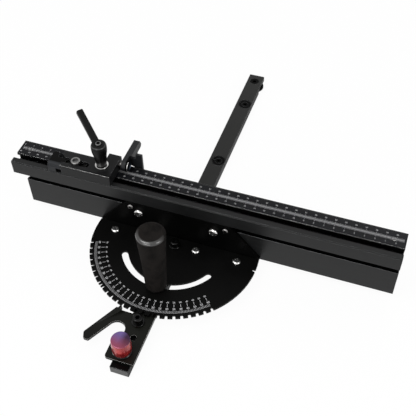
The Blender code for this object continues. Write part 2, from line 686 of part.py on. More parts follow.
def board_profile():
    """Section of the lower extrusion, with a T-slot in its near face and a hollow."""
    mouth = BACK_SLOT_MOUTH / 2
    cavity = BACK_SLOT_CAVITY / 2
    lip = BOARD_FACE + BACK_SLOT_LIP
    floor = BOARD_FACE + BACK_SLOT_DEPTH
    outer = [(BOARD_FACE, BOARD_BOTTOM), (FENCE_BACK, BOARD_BOTTOM), (FENCE_BACK, BOARD_TOP),
             (BOARD_FACE, BOARD_TOP), (BOARD_FACE, BACK_SLOT_Z + mouth), (lip, BACK_SLOT_Z + mouth),
             (lip, BACK_SLOT_Z + cavity), (floor, BACK_SLOT_Z + cavity), (floor, BACK_SLOT_Z - cavity),
             (lip, BACK_SLOT_Z - cavity), (lip, BACK_SLOT_Z - mouth), (BOARD_FACE, BACK_SLOT_Z - mouth)]
    near = BOARD_FACE + BOARD_WALL
    far = FENCE_BACK - BOARD_WALL
    behind = floor + BOARD_WALL
    low = BOARD_BOTTOM + BOARD_WALL
    web_top = WEB_LOW + BOARD_WALL
    top = BOARD_TOP - BOARD_WALL
    hollow = [(near, low), (far, low), (far, WEB_LOW), (near, WEB_LOW)]
    upper = [(behind, web_top), (far, web_top), (far, top), (behind, top)]
    return [outer, rounded(hollow, BOARD_CORNER), rounded(upper, BOARD_CORNER)]


def rail_profile():
    """Section of the upper extrusion: the near lip, the T-slot and the ruler's bed."""
    cavity = TOP_SLOT_CAVITY / 2
    under = RAIL_TOP - TOP_SLOT_LIP
    bed = RAIL_TOP - RULER_THICKNESS
    ruler_far = RULER_NEAR + RULER_WIDTH + GAP
    back_edge = RAIL_BACK_EDGE
    wing = SLOT_FAR + GAP / 2
    outer = [(BRACKET_FACE, RAIL_BOTTOM), (FENCE_BACK, RAIL_BOTTOM), (FENCE_BACK, RAIL_TOP - back_edge),
             (FENCE_BACK - back_edge, RAIL_TOP), (ruler_far, RAIL_TOP), (ruler_far, bed - GAP),
             (wing, bed - GAP), (wing, under), (SLOT_MIDDLE + cavity, under),
             (SLOT_MIDDLE + cavity, SLOT_FLOOR), (SLOT_MIDDLE - cavity, SLOT_FLOOR),
             (SLOT_MIDDLE - cavity, under), (SLOT_NEAR, under), (SLOT_NEAR, RAIL_TOP),
             (BRACKET_FACE + RAIL_EDGE, RAIL_TOP), (BRACKET_FACE, RAIL_TOP - RAIL_EDGE)]
    near = SLOT_MIDDLE + cavity + BOARD_WALL
    far = FENCE_BACK - BOARD_WALL
    low = RAIL_BOTTOM + BOARD_WALL
    top = bed - BOARD_WALL
    return [outer, rounded([(near, low), (far, low), (far, top), (near, top)], RAIL_CORNER)]


def make_fence(black, scale_black, steel):
    """The board, the rail above it, the ruler let into the rail and their screws."""
    board = flat_outline("fence_board", board_profile(), BOARD_LEFT, FENCE_RIGHT, black, axis="X")
    for word, x in zip(("left", "right"), BIG_SCREW_X):
        bore(board, "board_tapping_" + word, x, BIG_SCREW_Z, BOARD_FACE - OVERRUN,
             BOARD_FACE + BIG_SCREW_GRIP + GAP, BIG_SCREW[2] + HOLE_CLEARANCE, black, axis="Y")
    rail = flat_outline("fence_rail", rail_profile(), RAIL_LEFT, FENCE_RIGHT, black, axis="X")
    screws = []
    length = RAIL_FLOOR + GAP + RAIL_SCREW_BITE
    for number, x in enumerate(RAIL_SCREW_X, start=1):
        place = (x, SLOT_MIDDLE, SLOT_FLOOR)
        for part, word in ((rail, "rail"), (board, "board")):
            sunk_hole(part, word + "_sink_" + str(number), place, RAIL_SCREW, length, black)
        screws.append(sunk_screw("rail_screw_" + str(number), place, RAIL_SCREW, length, steel))
    bed = RAIL_TOP - RULER_THICKNESS
    ruler = box("ruler_strip", (RAIL_LEFT, RULER_NEAR, bed),
                (FENCE_RIGHT, RULER_NEAR + RULER_WIDTH, RAIL_TOP), scale_black)
    middle = RULER_NEAR + RULER_WIDTH / 2
    for x, word in ((RAIL_LEFT + RULER_INSET, "left"), (FENCE_RIGHT - RULER_INSET, "right")):
        place = (x, middle, RAIL_TOP)
        for part, tag in ((ruler, "ruler"), (rail, "bed")):
            sunk_hole(part, tag + "_sink_" + word, place, RULER_SCREW, RULER_SCREW_LENGTH, black)
        screws.append(sunk_screw("ruler_screw_" + word, place, RULER_SCREW, RULER_SCREW_LENGTH, steel))
    return [board, rail, ruler] + screws


def make_handle(foam, steel):
    """The foam grip on its threaded core, with the fixed stud in the bar."""
    x, y = 0.0, -SLOT_RADIUS
    washer_low = PLATE_HIGH + GAP
    washer_high = washer_low + WASHER_THICKNESS
    core_low = washer_high + GAP
    top = core_low + HANDLE_LENGTH
    stud_bore = STUD_RADIUS + HOLE_CLEARANCE
    core_high = core_low + STUD_BORE_DEPTH + CORE_CAP
    stud_high = core_low + STUD_BORE_DEPTH - STUD_SHORT
    washer = ring("handle_washer", stud_bore, HANDLE_BASE, washer_low, washer_high, (x, y), steel)
    core = turned("handle_core", [(0, core_high), (HANDLE_BORE, core_high), (HANDLE_BORE, core_low),
                                  (stud_bore, core_low), (stud_bore, core_low + STUD_BORE_DEPTH),
                                  (0, core_low + STUD_BORE_DEPTH)], (x, y, 0), steel)
    bore_radius = HANDLE_BORE + GAP
    middle = (HANDLE_BASE + HANDLE_TOP) / 2 - HANDLE_BELLY
    profile = [(0, top - HANDLE_DISH), (HANDLE_TOP - 2 * HANDLE_ROUND, top - 0.8 * HANDLE_DISH)]
    profile += arc(HANDLE_TOP - HANDLE_ROUND, top - HANDLE_ROUND, HANDLE_ROUND, 90, 0, 5)
    profile += [(middle, (core_low + top) / 2), (HANDLE_BASE, core_low + 4.0 * MM),
                (HANDLE_BASE - 0.6 * MM, core_low), (bore_radius, core_low), (bore_radius, core_high + GAP),
                (0, core_high + GAP)]
    grip = turned("handle_grip", profile, (x, y, 0), foam, steps=32)
    turned("handle_stud", [(0, stud_high), (STUD_RADIUS, stud_high), (STUD_RADIUS, BLIND_FLOOR + GAP),
                           (0, BLIND_FLOOR + GAP)], (x, y, 0), steel)
    ring("clamp_spacer", stud_bore, SPACER_RADIUS, BAR_TOP + GAP, PLATE_LOW - GAP, (x, y), steel)
    hold([washer, core, grip], "handle_axis", (x, y, washer_low))


def lever_outline():
    """The lever's arm, body and tail, listed anticlockwise from the tail's near right corner."""
    near = KNOB_PLACE[1] - TAIL_REACH
    under = -PLATE_RADIUS + ARM_UNDER_RIM
    rim = PLATE_RADIUS + GAP
    tooth_left = polar(rim + TOOTH_LENGTH, NOTCH_MIDDLE - 3.0)
    tooth_right = polar(rim + TOOTH_LENGTH, NOTCH_MIDDLE + 1.4)
    outline = [(LEVER_RIGHT, near), (LEVER_RIGHT, under)] + [(x, under + y) for x, y in NECK]
    outline += [(tooth_right[0], tooth_right[1] - TOOTH_HEEL), tooth_right, tooth_left]
    outline += rounded(THUMB_CORNERS, THUMB_ROUND, 2)
    outline += arc(*FINGER_GAP, 152, 0, 8)
    outline += [TAIL_SHOULDER[0], (TAIL_LEFT, TAIL_SHOULDER[1])]
    outline += arc(TAIL_LEFT + TAIL_CORNER, near + TAIL_CORNER, TAIL_CORNER, 180, 270, 4)
    return outline


def make_index(black, steel, red):
    """The indexing lever with its tooth, its shouldered screw, and the knob that locks it."""
    px, py = LEVER_PIVOT
    kx, ky = KNOB_PLACE
    shank = INDEX_SCREW[2] + HOLE_CLEARANCE
    stud = KNOB_STUD + HOLE_CLEARANCE
    sweep = math.hypot(kx - px, ky - py) * math.radians(LEVER_TRAVEL)
    slot = arc(kx, ky, stud, 90, 270, 8) + arc(kx + sweep, ky, stud, 270, 450, 8)
    loops = [lever_outline(), circle(px, py, shank), circle(*LEVER_HOLE, LEVER_HOLE_RADIUS), slot]
    lever = flat_outline("index_lever", loops, LEVER_LOW, LEVER_HIGH, black)
    tip = PLATE_RADIUS + GAP
    seat = tip + TOOTH_LENGTH
    tooth = []
    outward = Vector(polar(1.0, NOTCH_MIDDLE))
    along = Vector((-outward.y, outward.x))
    left_side = [(seat + TOOTH_LAP, -TOOTH_ROOT / 2), (seat, -TOOTH_ROOT / 2), (tip, -TOOTH_TIP / 2)]
    right_side = [(radius, -across) for radius, across in reversed(left_side)]
    for radius, across in left_side + right_side:
        point = outward * radius + along * (across - TOOTH_OFFSET)
        tooth.append((point.x, point.y))
    tooth_block = flat_outline("index_tooth_block", [tooth], LEVER_LOW, PLATE_HIGH, black)
    boolean(lever, tooth_block, "UNION")

    washer_low = LEVER_HIGH + GAP
    washer_high = washer_low + WASHER_THICKNESS
    ring("index_washer", shank, INDEX_WASHER_RADIUS, washer_low, washer_high, LEVER_PIVOT, steel)
    button_screw("index_screw", (px, py, washer_high + GAP), INDEX_SCREW, washer_high - BLIND_FLOOR, black,
                 dome=0.15)

    knob_low = LEVER_HIGH + GAP
    knob_high = knob_low + KNOB_HEIGHT
    stud_high = knob_high - KNOB_CAP
    edge = 0.8 * MM
    profile = [(0, knob_high - edge), (KNOB_TOP - 2 * edge, knob_high - edge / 2),
               (KNOB_TOP - edge, knob_high), (KNOB_TOP, knob_high - edge),
               (KNOB_RADIUS, knob_high - KNOB_HEIGHT * 0.45),
               (KNOB_RADIUS, knob_low + 4 * edge), (KNOB_RADIUS - 2 * edge, knob_low + edge),
               (KNOB_RADIUS - 3 * edge, knob_low), (stud, knob_low), (stud, stud_high), (0, stud_high)]
    knob = turned("index_knob", profile, (kx, ky, 0), red, steps=36)
    turned("knob_stud", [(0, stud_high - GAP), (KNOB_STUD, stud_high - GAP), (KNOB_STUD, BLIND_FLOOR + GAP),
                         (0, BLIND_FLOOR + GAP)], (kx, ky, 0), steel)
    hold([lever], "index_lever_axis", (px, py, LEVER_LOW))
    hold([knob], "knob_axis", (kx, ky, knob_low))


def make_stop_block(black, steel):
    """The sliding block, the nut in the T-slot, the pointer and the pointer's screw."""
    end_x = BLOCK_RIGHT - BLOCK_END_LENGTH
    near = BRACKET_FACE
    ear = BLOCK_LEFT - BLOCK_EAR
    ear_near = GROOVE_Y + GROOVE_WIDTH / 2
    outline = [(BLOCK_LEFT, near), (BLOCK_RIGHT, near), (BLOCK_RIGHT, near + BLOCK_END_DEPTH),
               (end_x, near + BLOCK_END_DEPTH), (end_x, near + BLOCK_DEPTH + BLOCK_SHOULDER),
               (end_x - BLOCK_SLOPE, near + BLOCK_DEPTH), (ear, near + BLOCK_DEPTH),
               (ear, ear_near + EAR_FROM_GROOVE), (BLOCK_LEFT, ear_near + GAP)]
    block = flat_outline("stop_block", [outline], BLOCK_LOW, BLOCK_HIGH, black)
    key = box("block_key", (BLOCK_LEFT + KEY_INSET, SLOT_NEAR + GAP, RAIL_TOP - TOP_SLOT_LIP),
              (BLOCK_RIGHT - KEY_INSET, SLOT_FAR - GAP, BLOCK_LOW + OVERRUN), black)
    boolean(block, key, "UNION")
    groove_end = BLOCK_LEFT + GROOVE_LENGTH - GROOVE_WIDTH / 2
    half = GROOVE_WIDTH / 2
    groove_outline = [(BLOCK_LEFT - OVERRUN, GROOVE_Y - half)] + arc(groove_end, GROOVE_Y, half, -90, 90, 8)
    groove_outline.append((BLOCK_LEFT - OVERRUN, GROOVE_Y + half))
    groove = flat_outline("block_groove", [groove_outline], GROOVE_FLOOR, BLOCK_HIGH + OVERRUN, black)
    boolean(block, groove)
    nut_high = RAIL_TOP - TOP_SLOT_LIP - GAP
    nut_low = SLOT_FLOOR + GAP
    screw_hole = CURSOR_SCREW[2] + HOLE_CLEARANCE
    bore(block, "block_screw_hole", CURSOR_SCREW_X, GROOVE_Y, 0, BLOCK_HIGH, screw_hole, black)
    bore(block, "block_stud_hole", HUB_X, HUB_Y, RAIL_TOP, BLOCK_HIGH + OVERRUN, CLAMP_STUD + HOLE_CLEARANCE,
         black)
    bore(block, "block_pin_hole", PIN_Y, PIN_Z, end_x + PIN_SHORT, BLOCK_RIGHT + OVERRUN,
         PIN_RADIUS + HOLE_CLEARANCE, black, axis="X")

    nut_half = TOP_SLOT_CAVITY / 2 - GAP
    nut = box("stop_nut", (CURSOR_SCREW_X - NUT_LEFT, SLOT_MIDDLE - nut_half, nut_low),
              (CURSOR_SCREW_X + NUT_RIGHT, SLOT_MIDDLE + nut_half, nut_high), steel)
    bore(nut, "nut_hole", CURSOR_SCREW_X, GROOVE_Y, 0, RAIL_TOP, screw_hole, steel)
    screw = button_screw("cursor_screw", (CURSOR_SCREW_X, GROOVE_Y, BLOCK_HIGH + GAP), CURSOR_SCREW,
                         BLOCK_HIGH - nut_low - GAP, steel, dome=0.2)
    return [block, nut, screw]


def make_cursor(black):
    """The pointer: a plate over the rail with a bent near end, and a tongue in the groove."""
    right = BLOCK_LEFT - GAP
    left = right - CURSOR_WIDTH
    low = RAIL_TOP + GAP
    near = BRACKET_FACE + CURSOR_SETBACK
    far = BRACKET_FACE + BLOCK_DEPTH + CURSOR_OVER_RULER
    section = [(near, low), (far, low), (far, low + CURSOR_THICKNESS), (far - CURSOR_SLOPE, TONGUE_TOP)]
    section += arc(near + CURSOR_BEND, TONGUE_TOP - CURSOR_BEND, CURSOR_BEND, 90, 180, 5)
    cursor = flat_outline("cursor", [section], left, right, black, axis="X")
    groove_half = GROOVE_WIDTH / 2
    half = groove_half - GAP
    wide, high = CURSOR_NOTCH
    notch = box("cursor_notch", (right - wide, near - OVERRUN, low - OVERRUN),
                (right + OVERRUN, GROOVE_Y - groove_half, low + high), black)
    boolean(cursor, notch)
    corner = box("cursor_corner", (right - BLOCK_EAR - wide / 2, GROOVE_Y + groove_half, low - OVERRUN),
                 (right + OVERRUN, far + OVERRUN, TONGUE_TOP + OVERRUN), black)
    boolean(cursor, corner)
    radius = CURSOR_SCREW[2] + HOLE_CLEARANCE
    slot_right = CURSOR_SCREW_X + CURSOR_TRAVEL
    reach = slot_right + radius + CURSOR_TAIL
    tongue = box("cursor_tongue", (right - 2 * OVERRUN, GROOVE_Y - half, GROOVE_FLOOR + GAP),
                 (reach, GROOVE_Y + half, TONGUE_TOP), black)
    boolean(cursor, tongue, "UNION")
    slot = arc(slot_right, GROOVE_Y, radius, -90, 90, 8)
    slot += arc(right + CURSOR_TAIL + radius, GROOVE_Y, radius, 90, 270, 8)
    eye = flat_outline("cursor_slot", [slot], GROOVE_FLOOR - OVERRUN, TONGUE_TOP + OVERRUN, black)
    boolean(cursor, eye)
    return cursor


def make_clamp(black, steel):
    """The clamping lever, its screw, its washer and the stud that it tightens."""
    foot = BLOCK_HIGH + GAP + WASHER_THICKNESS + GAP
    top = foot + HUB_HEIGHT
    bore_radius = CLAMP_STUD + HOLE_CLEARANCE
    washer = ring("clamp_washer", bore_radius, CLAMP_WASHER, BLOCK_HIGH + GAP,
                  BLOCK_HIGH + GAP + WASHER_THICKNESS, (HUB_X, HUB_Y), steel)
    hub_profile = [(0, top), (HUB_RADIUS - 2.2 * MM, top), (HUB_RADIUS - 0.6 * MM, top - 0.8 * MM),
                   (HUB_RADIUS, top - 2.6 * MM), (HUB_RADIUS, top - 9.0 * MM),
                   (HUB_RADIUS - 1.0 * MM, top - 11.0 * MM), (HUB_FOOT, foot + 1.0 * MM),
                   (HUB_FOOT - 0.5 * MM, foot),
                   (bore_radius, foot), (bore_radius, top - HUB_CAP), (0, top - HUB_CAP)]
    hub = turned("clamp_lever", hub_profile, (HUB_X, HUB_Y, 0), black, steps=28)
    rise = math.atan2(ARM_RISE, ARM_REACH)
    length = math.hypot(ARM_REACH, ARM_RISE)
    start = 4.0 * MM
    arm_section = rounded([(start, -ARM_DEPTH * 0.62), (length, -ARM_DEPTH / 2), (length, ARM_DEPTH / 2),
                           (start, ARM_DEPTH * 0.55)], 1.2 * MM, 3)
    arm = flat_outline("clamp_arm", [arm_section], -ARM_WIDTH / 2, ARM_WIDTH / 2, black, axis="Y")
    turned_up = Matrix.Rotation(math.radians(ARM_BEARING), 4, "Z") @ Matrix.Rotation(-rise, 4, "Y")
    arm.matrix_world = Matrix.Translation((HUB_X, HUB_Y, top - ARM_DROP)) @ turned_up @ arm.matrix_world
    boolean(hub, arm, "UNION")
    recess = top - HUB_RECESS
    bore(hub, "lever_screw_recess", HUB_X, HUB_Y, recess, top + ARM_RISE, HUB_RECESS_RADIUS, black)
    bore(hub, "lever_screw_hole", HUB_X, HUB_Y, top - HUB_CAP - OVERRUN, top, CLAMP_SCREW[2] + HOLE_CLEARANCE,
         black, sides=COARSE)
    stud_high = top - HUB_CAP - 2 * OVERRUN
    stud = turned("clamp_stud", [(0, stud_high), (CLAMP_STUD, stud_high), (CLAMP_STUD, RAIL_TOP + GAP),
                                 (0, RAIL_TOP + GAP)], (HUB_X, HUB_Y, 0), steel)
    screw = button_screw("clamp_lever_screw", (HUB_X, HUB_Y, recess + GAP), CLAMP_SCREW, CLAMP_SCREW_LENGTH,
                         steel, dome=0.25)
    hold([hub, screw], "clamp_lever_axis", (HUB_X, HUB_Y, foot))
    return [washer, stud]


def make_flip_arm(black, steel):
    """The flip arm: an eye on the pin, a finger piece and the leg behind the working face."""
    near_side = BLOCK_RIGHT + PIN_SHOWN
    far_side = near_side + EYE_WIDTH
    leg_face = FENCE_BACK + LEG_CLEARANCE
    leg_back = leg_face + LEG_THICKNESS
    nose = [(PIN_Y + behind, PIN_Z + above) for behind, above in FINGER_SIDE]
    side = arc(PIN_Y, PIN_Z, ARM_HUB, 110, 270, 10) + nose + [(PIN_Y, PIN_Z + FINGER_TOP)]
    arm = flat_outline("flip_arm", [side], near_side, far_side, black, axis="X")
    bore(arm, "arm_eye", PIN_Y, PIN_Z, near_side - OVERRUN, far_side + OVERRUN, PIN_RADIUS + HOLE_CLEARANCE,
         black, axis="X")
    root = PIN_Y + FINGER_ROOT
    finger = [(root, PIN_Z - ARM_HUB)] + nose + [(root, PIN_Z + FINGER_TOP)]
    finger_pad = flat_outline("finger_pad", [finger], near_side, near_side + FLIP_WIDTH, black, axis="X")
    boolean(arm, finger_pad, "UNION")
    leg_near = near_side + LEG_SIDE
    leg_far = leg_near + LEG_WIDTH
    leg_outline = [(near_side, PIN_Z - ARM_HUB), (leg_near, PIN_Z - ARM_HUB - LEG_NECK), (leg_near, LEG_LOW),
                   (leg_far, LEG_LOW), (leg_far, LEG_HIGH), (leg_near, LEG_HIGH),
                   (leg_near, PIN_Z + LEG_NECK), (near_side, PIN_Z + BRIDGE_RISE)]
    leg = flat_outline("stop_leg", [leg_outline], leg_face, leg_back, black, axis="Y")
    boolean(arm, leg, "UNION")
    head_seat = far_side + GAP
    head_end = head_seat + PIN_HEAD
    pin_low = BLOCK_RIGHT - BLOCK_END_LENGTH + PIN_SHORT + GAP
    profile = [(0, head_end - PIN_DISH), (PIN_RADIUS, head_end - PIN_DISH), (PIN_RADIUS + PIN_DISH, head_end),
               (PIN_HEAD_RADIUS - PIN_CHAMFER, head_end), (PIN_HEAD_RADIUS, head_end - PIN_CHAMFER),
               (PIN_HEAD_RADIUS, head_seat), (PIN_RADIUS, head_seat), (PIN_RADIUS, pin_low), (0, pin_low)]
    hinge = turned("hinge_pin", profile, (0, PIN_Y, PIN_Z), steel, rotation=(0, math.pi / 2, 0))
    hold([arm], "flip_arm_axis", (near_side, PIN_Y, PIN_Z))
    return hinge


def main():
    """Build every piece and hang the moving ones on their axes."""
    start_scene()
    black = make_material("black_anodised", (0.03, 0.031, 0.033), 0.42, 0.6)
    foam = make_material("foam", (0.02, 0.02, 0.021), 0.85, 0.0)
    steel = make_material("zinc_steel", (0.55, 0.55, 0.56), 0.28, 1.0)
    scale_black = make_material("scale_black", (0.02, 0.02, 0.025), 0.35, 0.2)
    red = make_material("red_anodised", (0.45, 0.03, 0.06), 0.2, 0.8)

    make_bar(black)
    bracket = make_bracket(black)
    plate = make_plate(black)
    screws = make_head_screws(black, steel)
    fence = make_fence(black, scale_black, steel)
    make_handle(foam, steel)
    make_index(black, steel, red)

    carried = make_stop_block(black, steel)
    cursor = make_cursor(black)
    carried += make_clamp(black, steel)
    carried.append(make_flip_arm(black, steel))

    head = hold([bracket, plate] + screws + fence, "head_axis", (0, 0, PLATE_LOW))
    stop = hold(carried, "stop_slide", (HUB_X, HUB_Y, BLOCK_LOW))
    hold([cursor], "cursor_slide", (CURSOR_SCREW_X, GROOVE_Y, GROOVE_FLOOR))
    for name in ("clamp_lever_axis", "flip_arm_axis", "cursor_slide"):
        child = bpy.data.objects[name]
        child.parent = stop
        child.matrix_parent_inverse = stop.matrix_world.inverted()
    stop.parent = head
    stop.matrix_parent_inverse = head.matrix_world.inverted()


main()
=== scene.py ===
"""Miter gauge: finishes, print, turned parts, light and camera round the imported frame."""
import json
import math

import bpy
from mathutils import Matrix, Vector


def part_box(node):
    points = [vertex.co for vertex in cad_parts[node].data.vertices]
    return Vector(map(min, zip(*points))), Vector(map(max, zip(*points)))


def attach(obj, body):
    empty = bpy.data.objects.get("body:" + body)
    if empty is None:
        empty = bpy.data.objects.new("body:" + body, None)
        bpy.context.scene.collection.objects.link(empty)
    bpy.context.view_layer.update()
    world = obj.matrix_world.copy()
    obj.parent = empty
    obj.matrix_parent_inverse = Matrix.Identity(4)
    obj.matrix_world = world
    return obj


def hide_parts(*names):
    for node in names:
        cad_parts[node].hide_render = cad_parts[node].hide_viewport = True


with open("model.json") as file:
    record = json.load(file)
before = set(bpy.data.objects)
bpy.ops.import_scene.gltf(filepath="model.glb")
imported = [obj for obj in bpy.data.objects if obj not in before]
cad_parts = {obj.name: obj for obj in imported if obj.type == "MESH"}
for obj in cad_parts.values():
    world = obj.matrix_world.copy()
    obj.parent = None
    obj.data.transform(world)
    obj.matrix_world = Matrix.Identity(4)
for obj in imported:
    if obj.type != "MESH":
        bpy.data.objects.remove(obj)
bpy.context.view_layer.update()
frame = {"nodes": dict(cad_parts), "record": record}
BODY_OF = {}
for body_name, members in frame["record"]["behaviour"]["bodies"].items():
    for member in members:
        BODY_OF[member] = body_name
MM = 0.001
EDGE_ANGLE = math.radians(32)   # an edge sharper than this is broken
ZERO_BEARING = -15.0            # the scale's zero and the index tooth, in degrees from the bar's near end
PRINT_LIFT = 0.03 * MM          # print over the face that carries it

# Tints of a grey, as shares of red, green and blue
PLAIN = (1.0, 1.0, 1.0)
COOL = (0.97, 1.0, 1.03)
WARM = (1.0, 1.0, 0.98)
GREEN = (1.0, 1.06, 0.82)


# Materials

class Value:
    """A socket in a material's nodes, so that masks and mixes are written as sums."""

    def __init__(self, tree, socket):
        self.tree = tree
        self.socket = socket

    def node(self, kind, settings, inputs, output=0):
        """Add a node with its settings, then the values or links of its sockets."""
        made = self.tree.nodes.new(kind)
        for name, value in settings.items():
            setattr(made, name, value)
        for name, value in inputs.items():
            if isinstance(value, Value):
                self.tree.links.new(value.socket, made.inputs[name])
            else:
                made.inputs[name].default_value = value
        return Value(self.tree, made.outputs[output])

    def math(self, operation, first, second=0.0):
        """A Math node's result for one or two values."""
        return self.node("ShaderNodeMath", {"operation": operation}, {0: first, 1: second})

    def __add__(self, other):
        return self.math("ADD", self, other)

    def __radd__(self, other):
        return self.math("ADD", other, self)

    def __sub__(self, other):
        return self.math("SUBTRACT", self, other)

    def __rsub__(self, other):
        return self.math("SUBTRACT", other, self)

    def __mul__(self, other):
        return self.math("MULTIPLY", self, other)

    def __rmul__(self, other):
        return self.math("MULTIPLY", other, self)

    def clamp(self, low, high):
        """Bring what lies between two limits to the span from 0 to 1."""
        return self.node("ShaderNodeMapRange", {}, {"Value": self, "From Min": low, "From Max": high})

    def noise(self, scale, detail=2.0, stretch=(1.0, 1.0, 1.0)):
        """Noise on these coordinates; a stretch below 1 draws it out along that axis."""
        placed = self.node("ShaderNodeMapping", {}, {"Vector": self, "Scale": stretch})
        return self.node("ShaderNodeTexNoise", {}, {"Vector": placed, "Scale": scale, "Detail": detail})

    def cells(self, scale):
        """The distance to the nearest of many scattered points."""
        return self.node("ShaderNodeTexVoronoi", {}, {"Vector": self, "Scale": scale})

    def mix(self, first, second):
        """Blend two colours by this value."""
        return self.node("ShaderNodeMix", {"data_type": "RGBA"}, {0: self, 6: first, 7: second}, output=2)

    def bump(self, strength, distance):
        """A normal from this height."""
        return self.node("ShaderNodeBump", {}, {"Height": self, "Strength": strength, "Distance": distance})


def shader_of(material):
    return material.node_tree.nodes["Principled BSDF"]


def start_material(name, roughness, metallic=0.0, specular=0.5, coat=0.0):
    """A Principled material with its constants set, and its Object coordinates."""
    material = bpy.data.materials.new(name)
    material.use_nodes = True
    shader = shader_of(material)
    shader.inputs["Roughness"].default_value = roughness
    shader.inputs["Metallic"].default_value = metallic
    shader.inputs["Specular IOR Level"].default_value = specular
    shader.inputs["Coat Weight"].default_value = coat
    tree = material.node_tree
    place = Value(tree, tree.nodes.new("ShaderNodeTexCoord").outputs["Object"])
    return material, place


def feed(material, **values):
    """Join values to the shader's sockets, named with underscores."""
    shader = shader_of(material)
    for name, value in values.items():
        material.node_tree.links.new(value.socket, shader.inputs[name.replace("_", " ")])
    return material


def grey(level, tint=PLAIN):
    return (level * tint[0], level * tint[1], level * tint[2], 1.0)


def extruded_black(name, level, tint, axis, specular=0.24):
    """Satin anodised black with the fine lines that drawing through a die leaves."""
    roughness = 0.42
    material, place = start_material(name, roughness, specular=specular)
    stretch = (0.02, 1.0, 1.0) if axis == "X" else (1.0, 0.02, 1.0)
    lines = place.noise(1500.0, 3.0, stretch)
    cloud = place.noise(18.0, 3.0)
    shade = (lines * 0.5 + cloud * 0.5).clamp(0.3, 0.7)
    colour = shade.mix(grey(level * 0.75, tint), grey(level * 1.25, tint))
    return feed(material, Base_Color=colour, Roughness=lines.clamp(0.3, 0.7) * 0.14 + (roughness - 0.07),
                Normal=lines.bump(0.12, 0.00005))


def sheet_black(name, level, tint, roughness, specular, grain=2600.0, depth=0.00004):
    """Powder-coated or anodised black sheet with a fine even grain."""
    material, place = start_material(name, roughness, specular=specular)
    fine = place.noise(grain, 2.0)
    cloud = place.noise(30.0, 3.0)
    shade = (fine * 0.4 + cloud * 0.6).clamp(0.35, 0.65)
    colour = shade.mix(grey(level * 0.7, tint), grey(level * 1.3, tint))
    return feed(material, Base_Color=colour, Roughness=cloud.clamp(0.3, 0.7) * 0.12 + (roughness - 0.06),
                Normal=fine.bump(0.25, depth))


def bright_metal(name, level, tint, roughness):
    """Plated or bare metal with faint cloudy patches and fine scratches."""
    material, place = start_material(name, roughness, metallic=1.0)
    cloud = place.noise(260.0, 3.0)
    fine = place.noise(2400.0, 2.0)
    colour = cloud.clamp(0.35, 0.65).mix(grey(level * 0.85, tint), grey(level, tint))
    return feed(material, Base_Color=colour, Roughness=fine.clamp(0.3, 0.7) * 0.12 + (roughness - 0.06),
                Normal=fine.bump(0.08, 0.00002))


def foam_black(low, high):
    """Closed-cell foam: matte, mottled, with pin holes, and its top edge rubbed smooth at the front."""
    material, place = start_material("foam_black", 0.82, specular=0.06)
    shader_of(material).inputs["Coat Roughness"].default_value = 0.22
    shader_of(material).inputs["Coat IOR"].default_value = 1.85
    holes = place.cells(1300.0).clamp(0.12, 0.42)
    cloud = place.noise(95.0, 4.0)
    brown_black = grey(0.0105, (1.15, 1.0, 0.92))
    colour = (holes * 0.25 + cloud * 0.75).clamp(0.36, 0.66).mix(grey(0.0012), brown_black)
    height = holes + place.noise(500.0, 3.0) * 0.7
    flat = place.node("ShaderNodeMapping", {}, {"Vector": place, "Scale": (1.0, 1.0, 0.0)})
    axis = ((low.x + high.x) / 2, (low.y + high.y) / 2, 0.0)
    reach = flat.node("ShaderNodeVectorMath", {"operation": "DISTANCE"}, {0: flat, 1: axis}, output=1)
    back = place.node("ShaderNodeSeparateXYZ", {}, {"Vector": place}, output=1)
    up = place.node("ShaderNodeSeparateXYZ", {}, {"Vector": place}, output=2)
    radius = (high.x - low.x) / 2
    at_edge = reach.clamp(radius - 3.6 * MM, radius - 2.4 * MM)
    at_top = up.clamp(high.z - 3.4 * MM, high.z - 2.0 * MM)
    at_front = 1.0 - back.clamp(axis[1] - 8.0 * MM, axis[1] + 1.0 * MM)
    skin = at_edge * at_top * at_front
    return feed(material, Base_Color=colour, Roughness=0.74 + cloud * 0.16, Coat_Weight=skin,
                Normal=height.bump(0.3, 0.0002))


def knob_top(low, high):
    """Polished violet anodising, painted reflection and shade: blue at far left, rose near, dark at right.
    """
    material, place = start_material("knob_violet", 0.2, metallic=0.5, coat=0.3)
    across = place.node("ShaderNodeSeparateXYZ", {}, {"Vector": place}).clamp(low.x, high.x)
    along = place.node("ShaderNodeSeparateXYZ", {}, {"Vector": place}, output=1).clamp(low.y, high.y)
    cloud = place.noise(140.0, 2.0) * 0.2
    # Painted shade darkens the right, and a painted reflection turns the near side rose
    dark = (across - 0.5 + cloud).clamp(0.0, 0.35)
    near = (1.0 - along - across * 0.25 + cloud).clamp(0.25, 0.85)
    blue_violet = (0.15, 0.10, 0.30, 1.0)
    dark_violet = (0.03, 0.005, 0.035, 1.0)
    rose = (0.30, 0.05, 0.09, 1.0)
    colour = (near * 0.9).mix(dark.mix(blue_violet, dark_violet), rose)
    return feed(material, Base_Color=colour, Roughness=0.17 + cloud * 0.4)


def knob_side():
    """Polished red anodising with faint turning lines."""
    material, place = start_material("knob_red", 0.3, metallic=0.6, coat=0.25)
    lines = place.noise(600.0, 2.0, (0.01, 0.01, 1.0))
    cloud = place.noise(110.0, 2.0)
    deep_red = (0.26, 0.010, 0.014, 1.0)
    bright_red = (0.50, 0.028, 0.025, 1.0)
    colour = cloud.clamp(0.35, 0.65).mix(deep_red, bright_red)
    return feed(material, Base_Color=colour, Roughness=lines * 0.06 + 0.24, Normal=lines.bump(0.01, 0.00001))


def white_print(name, level):
    """Printed white, worn thin in places."""
    material, place = start_material(name, 0.55, specular=0.3)
    worn = place.noise(900.0, 3.0).clamp(0.25, 0.6)
    return feed(material, Base_Color=worn.mix(grey(level * 0.6), grey(level, (0.98, 0.98, 1.0))))


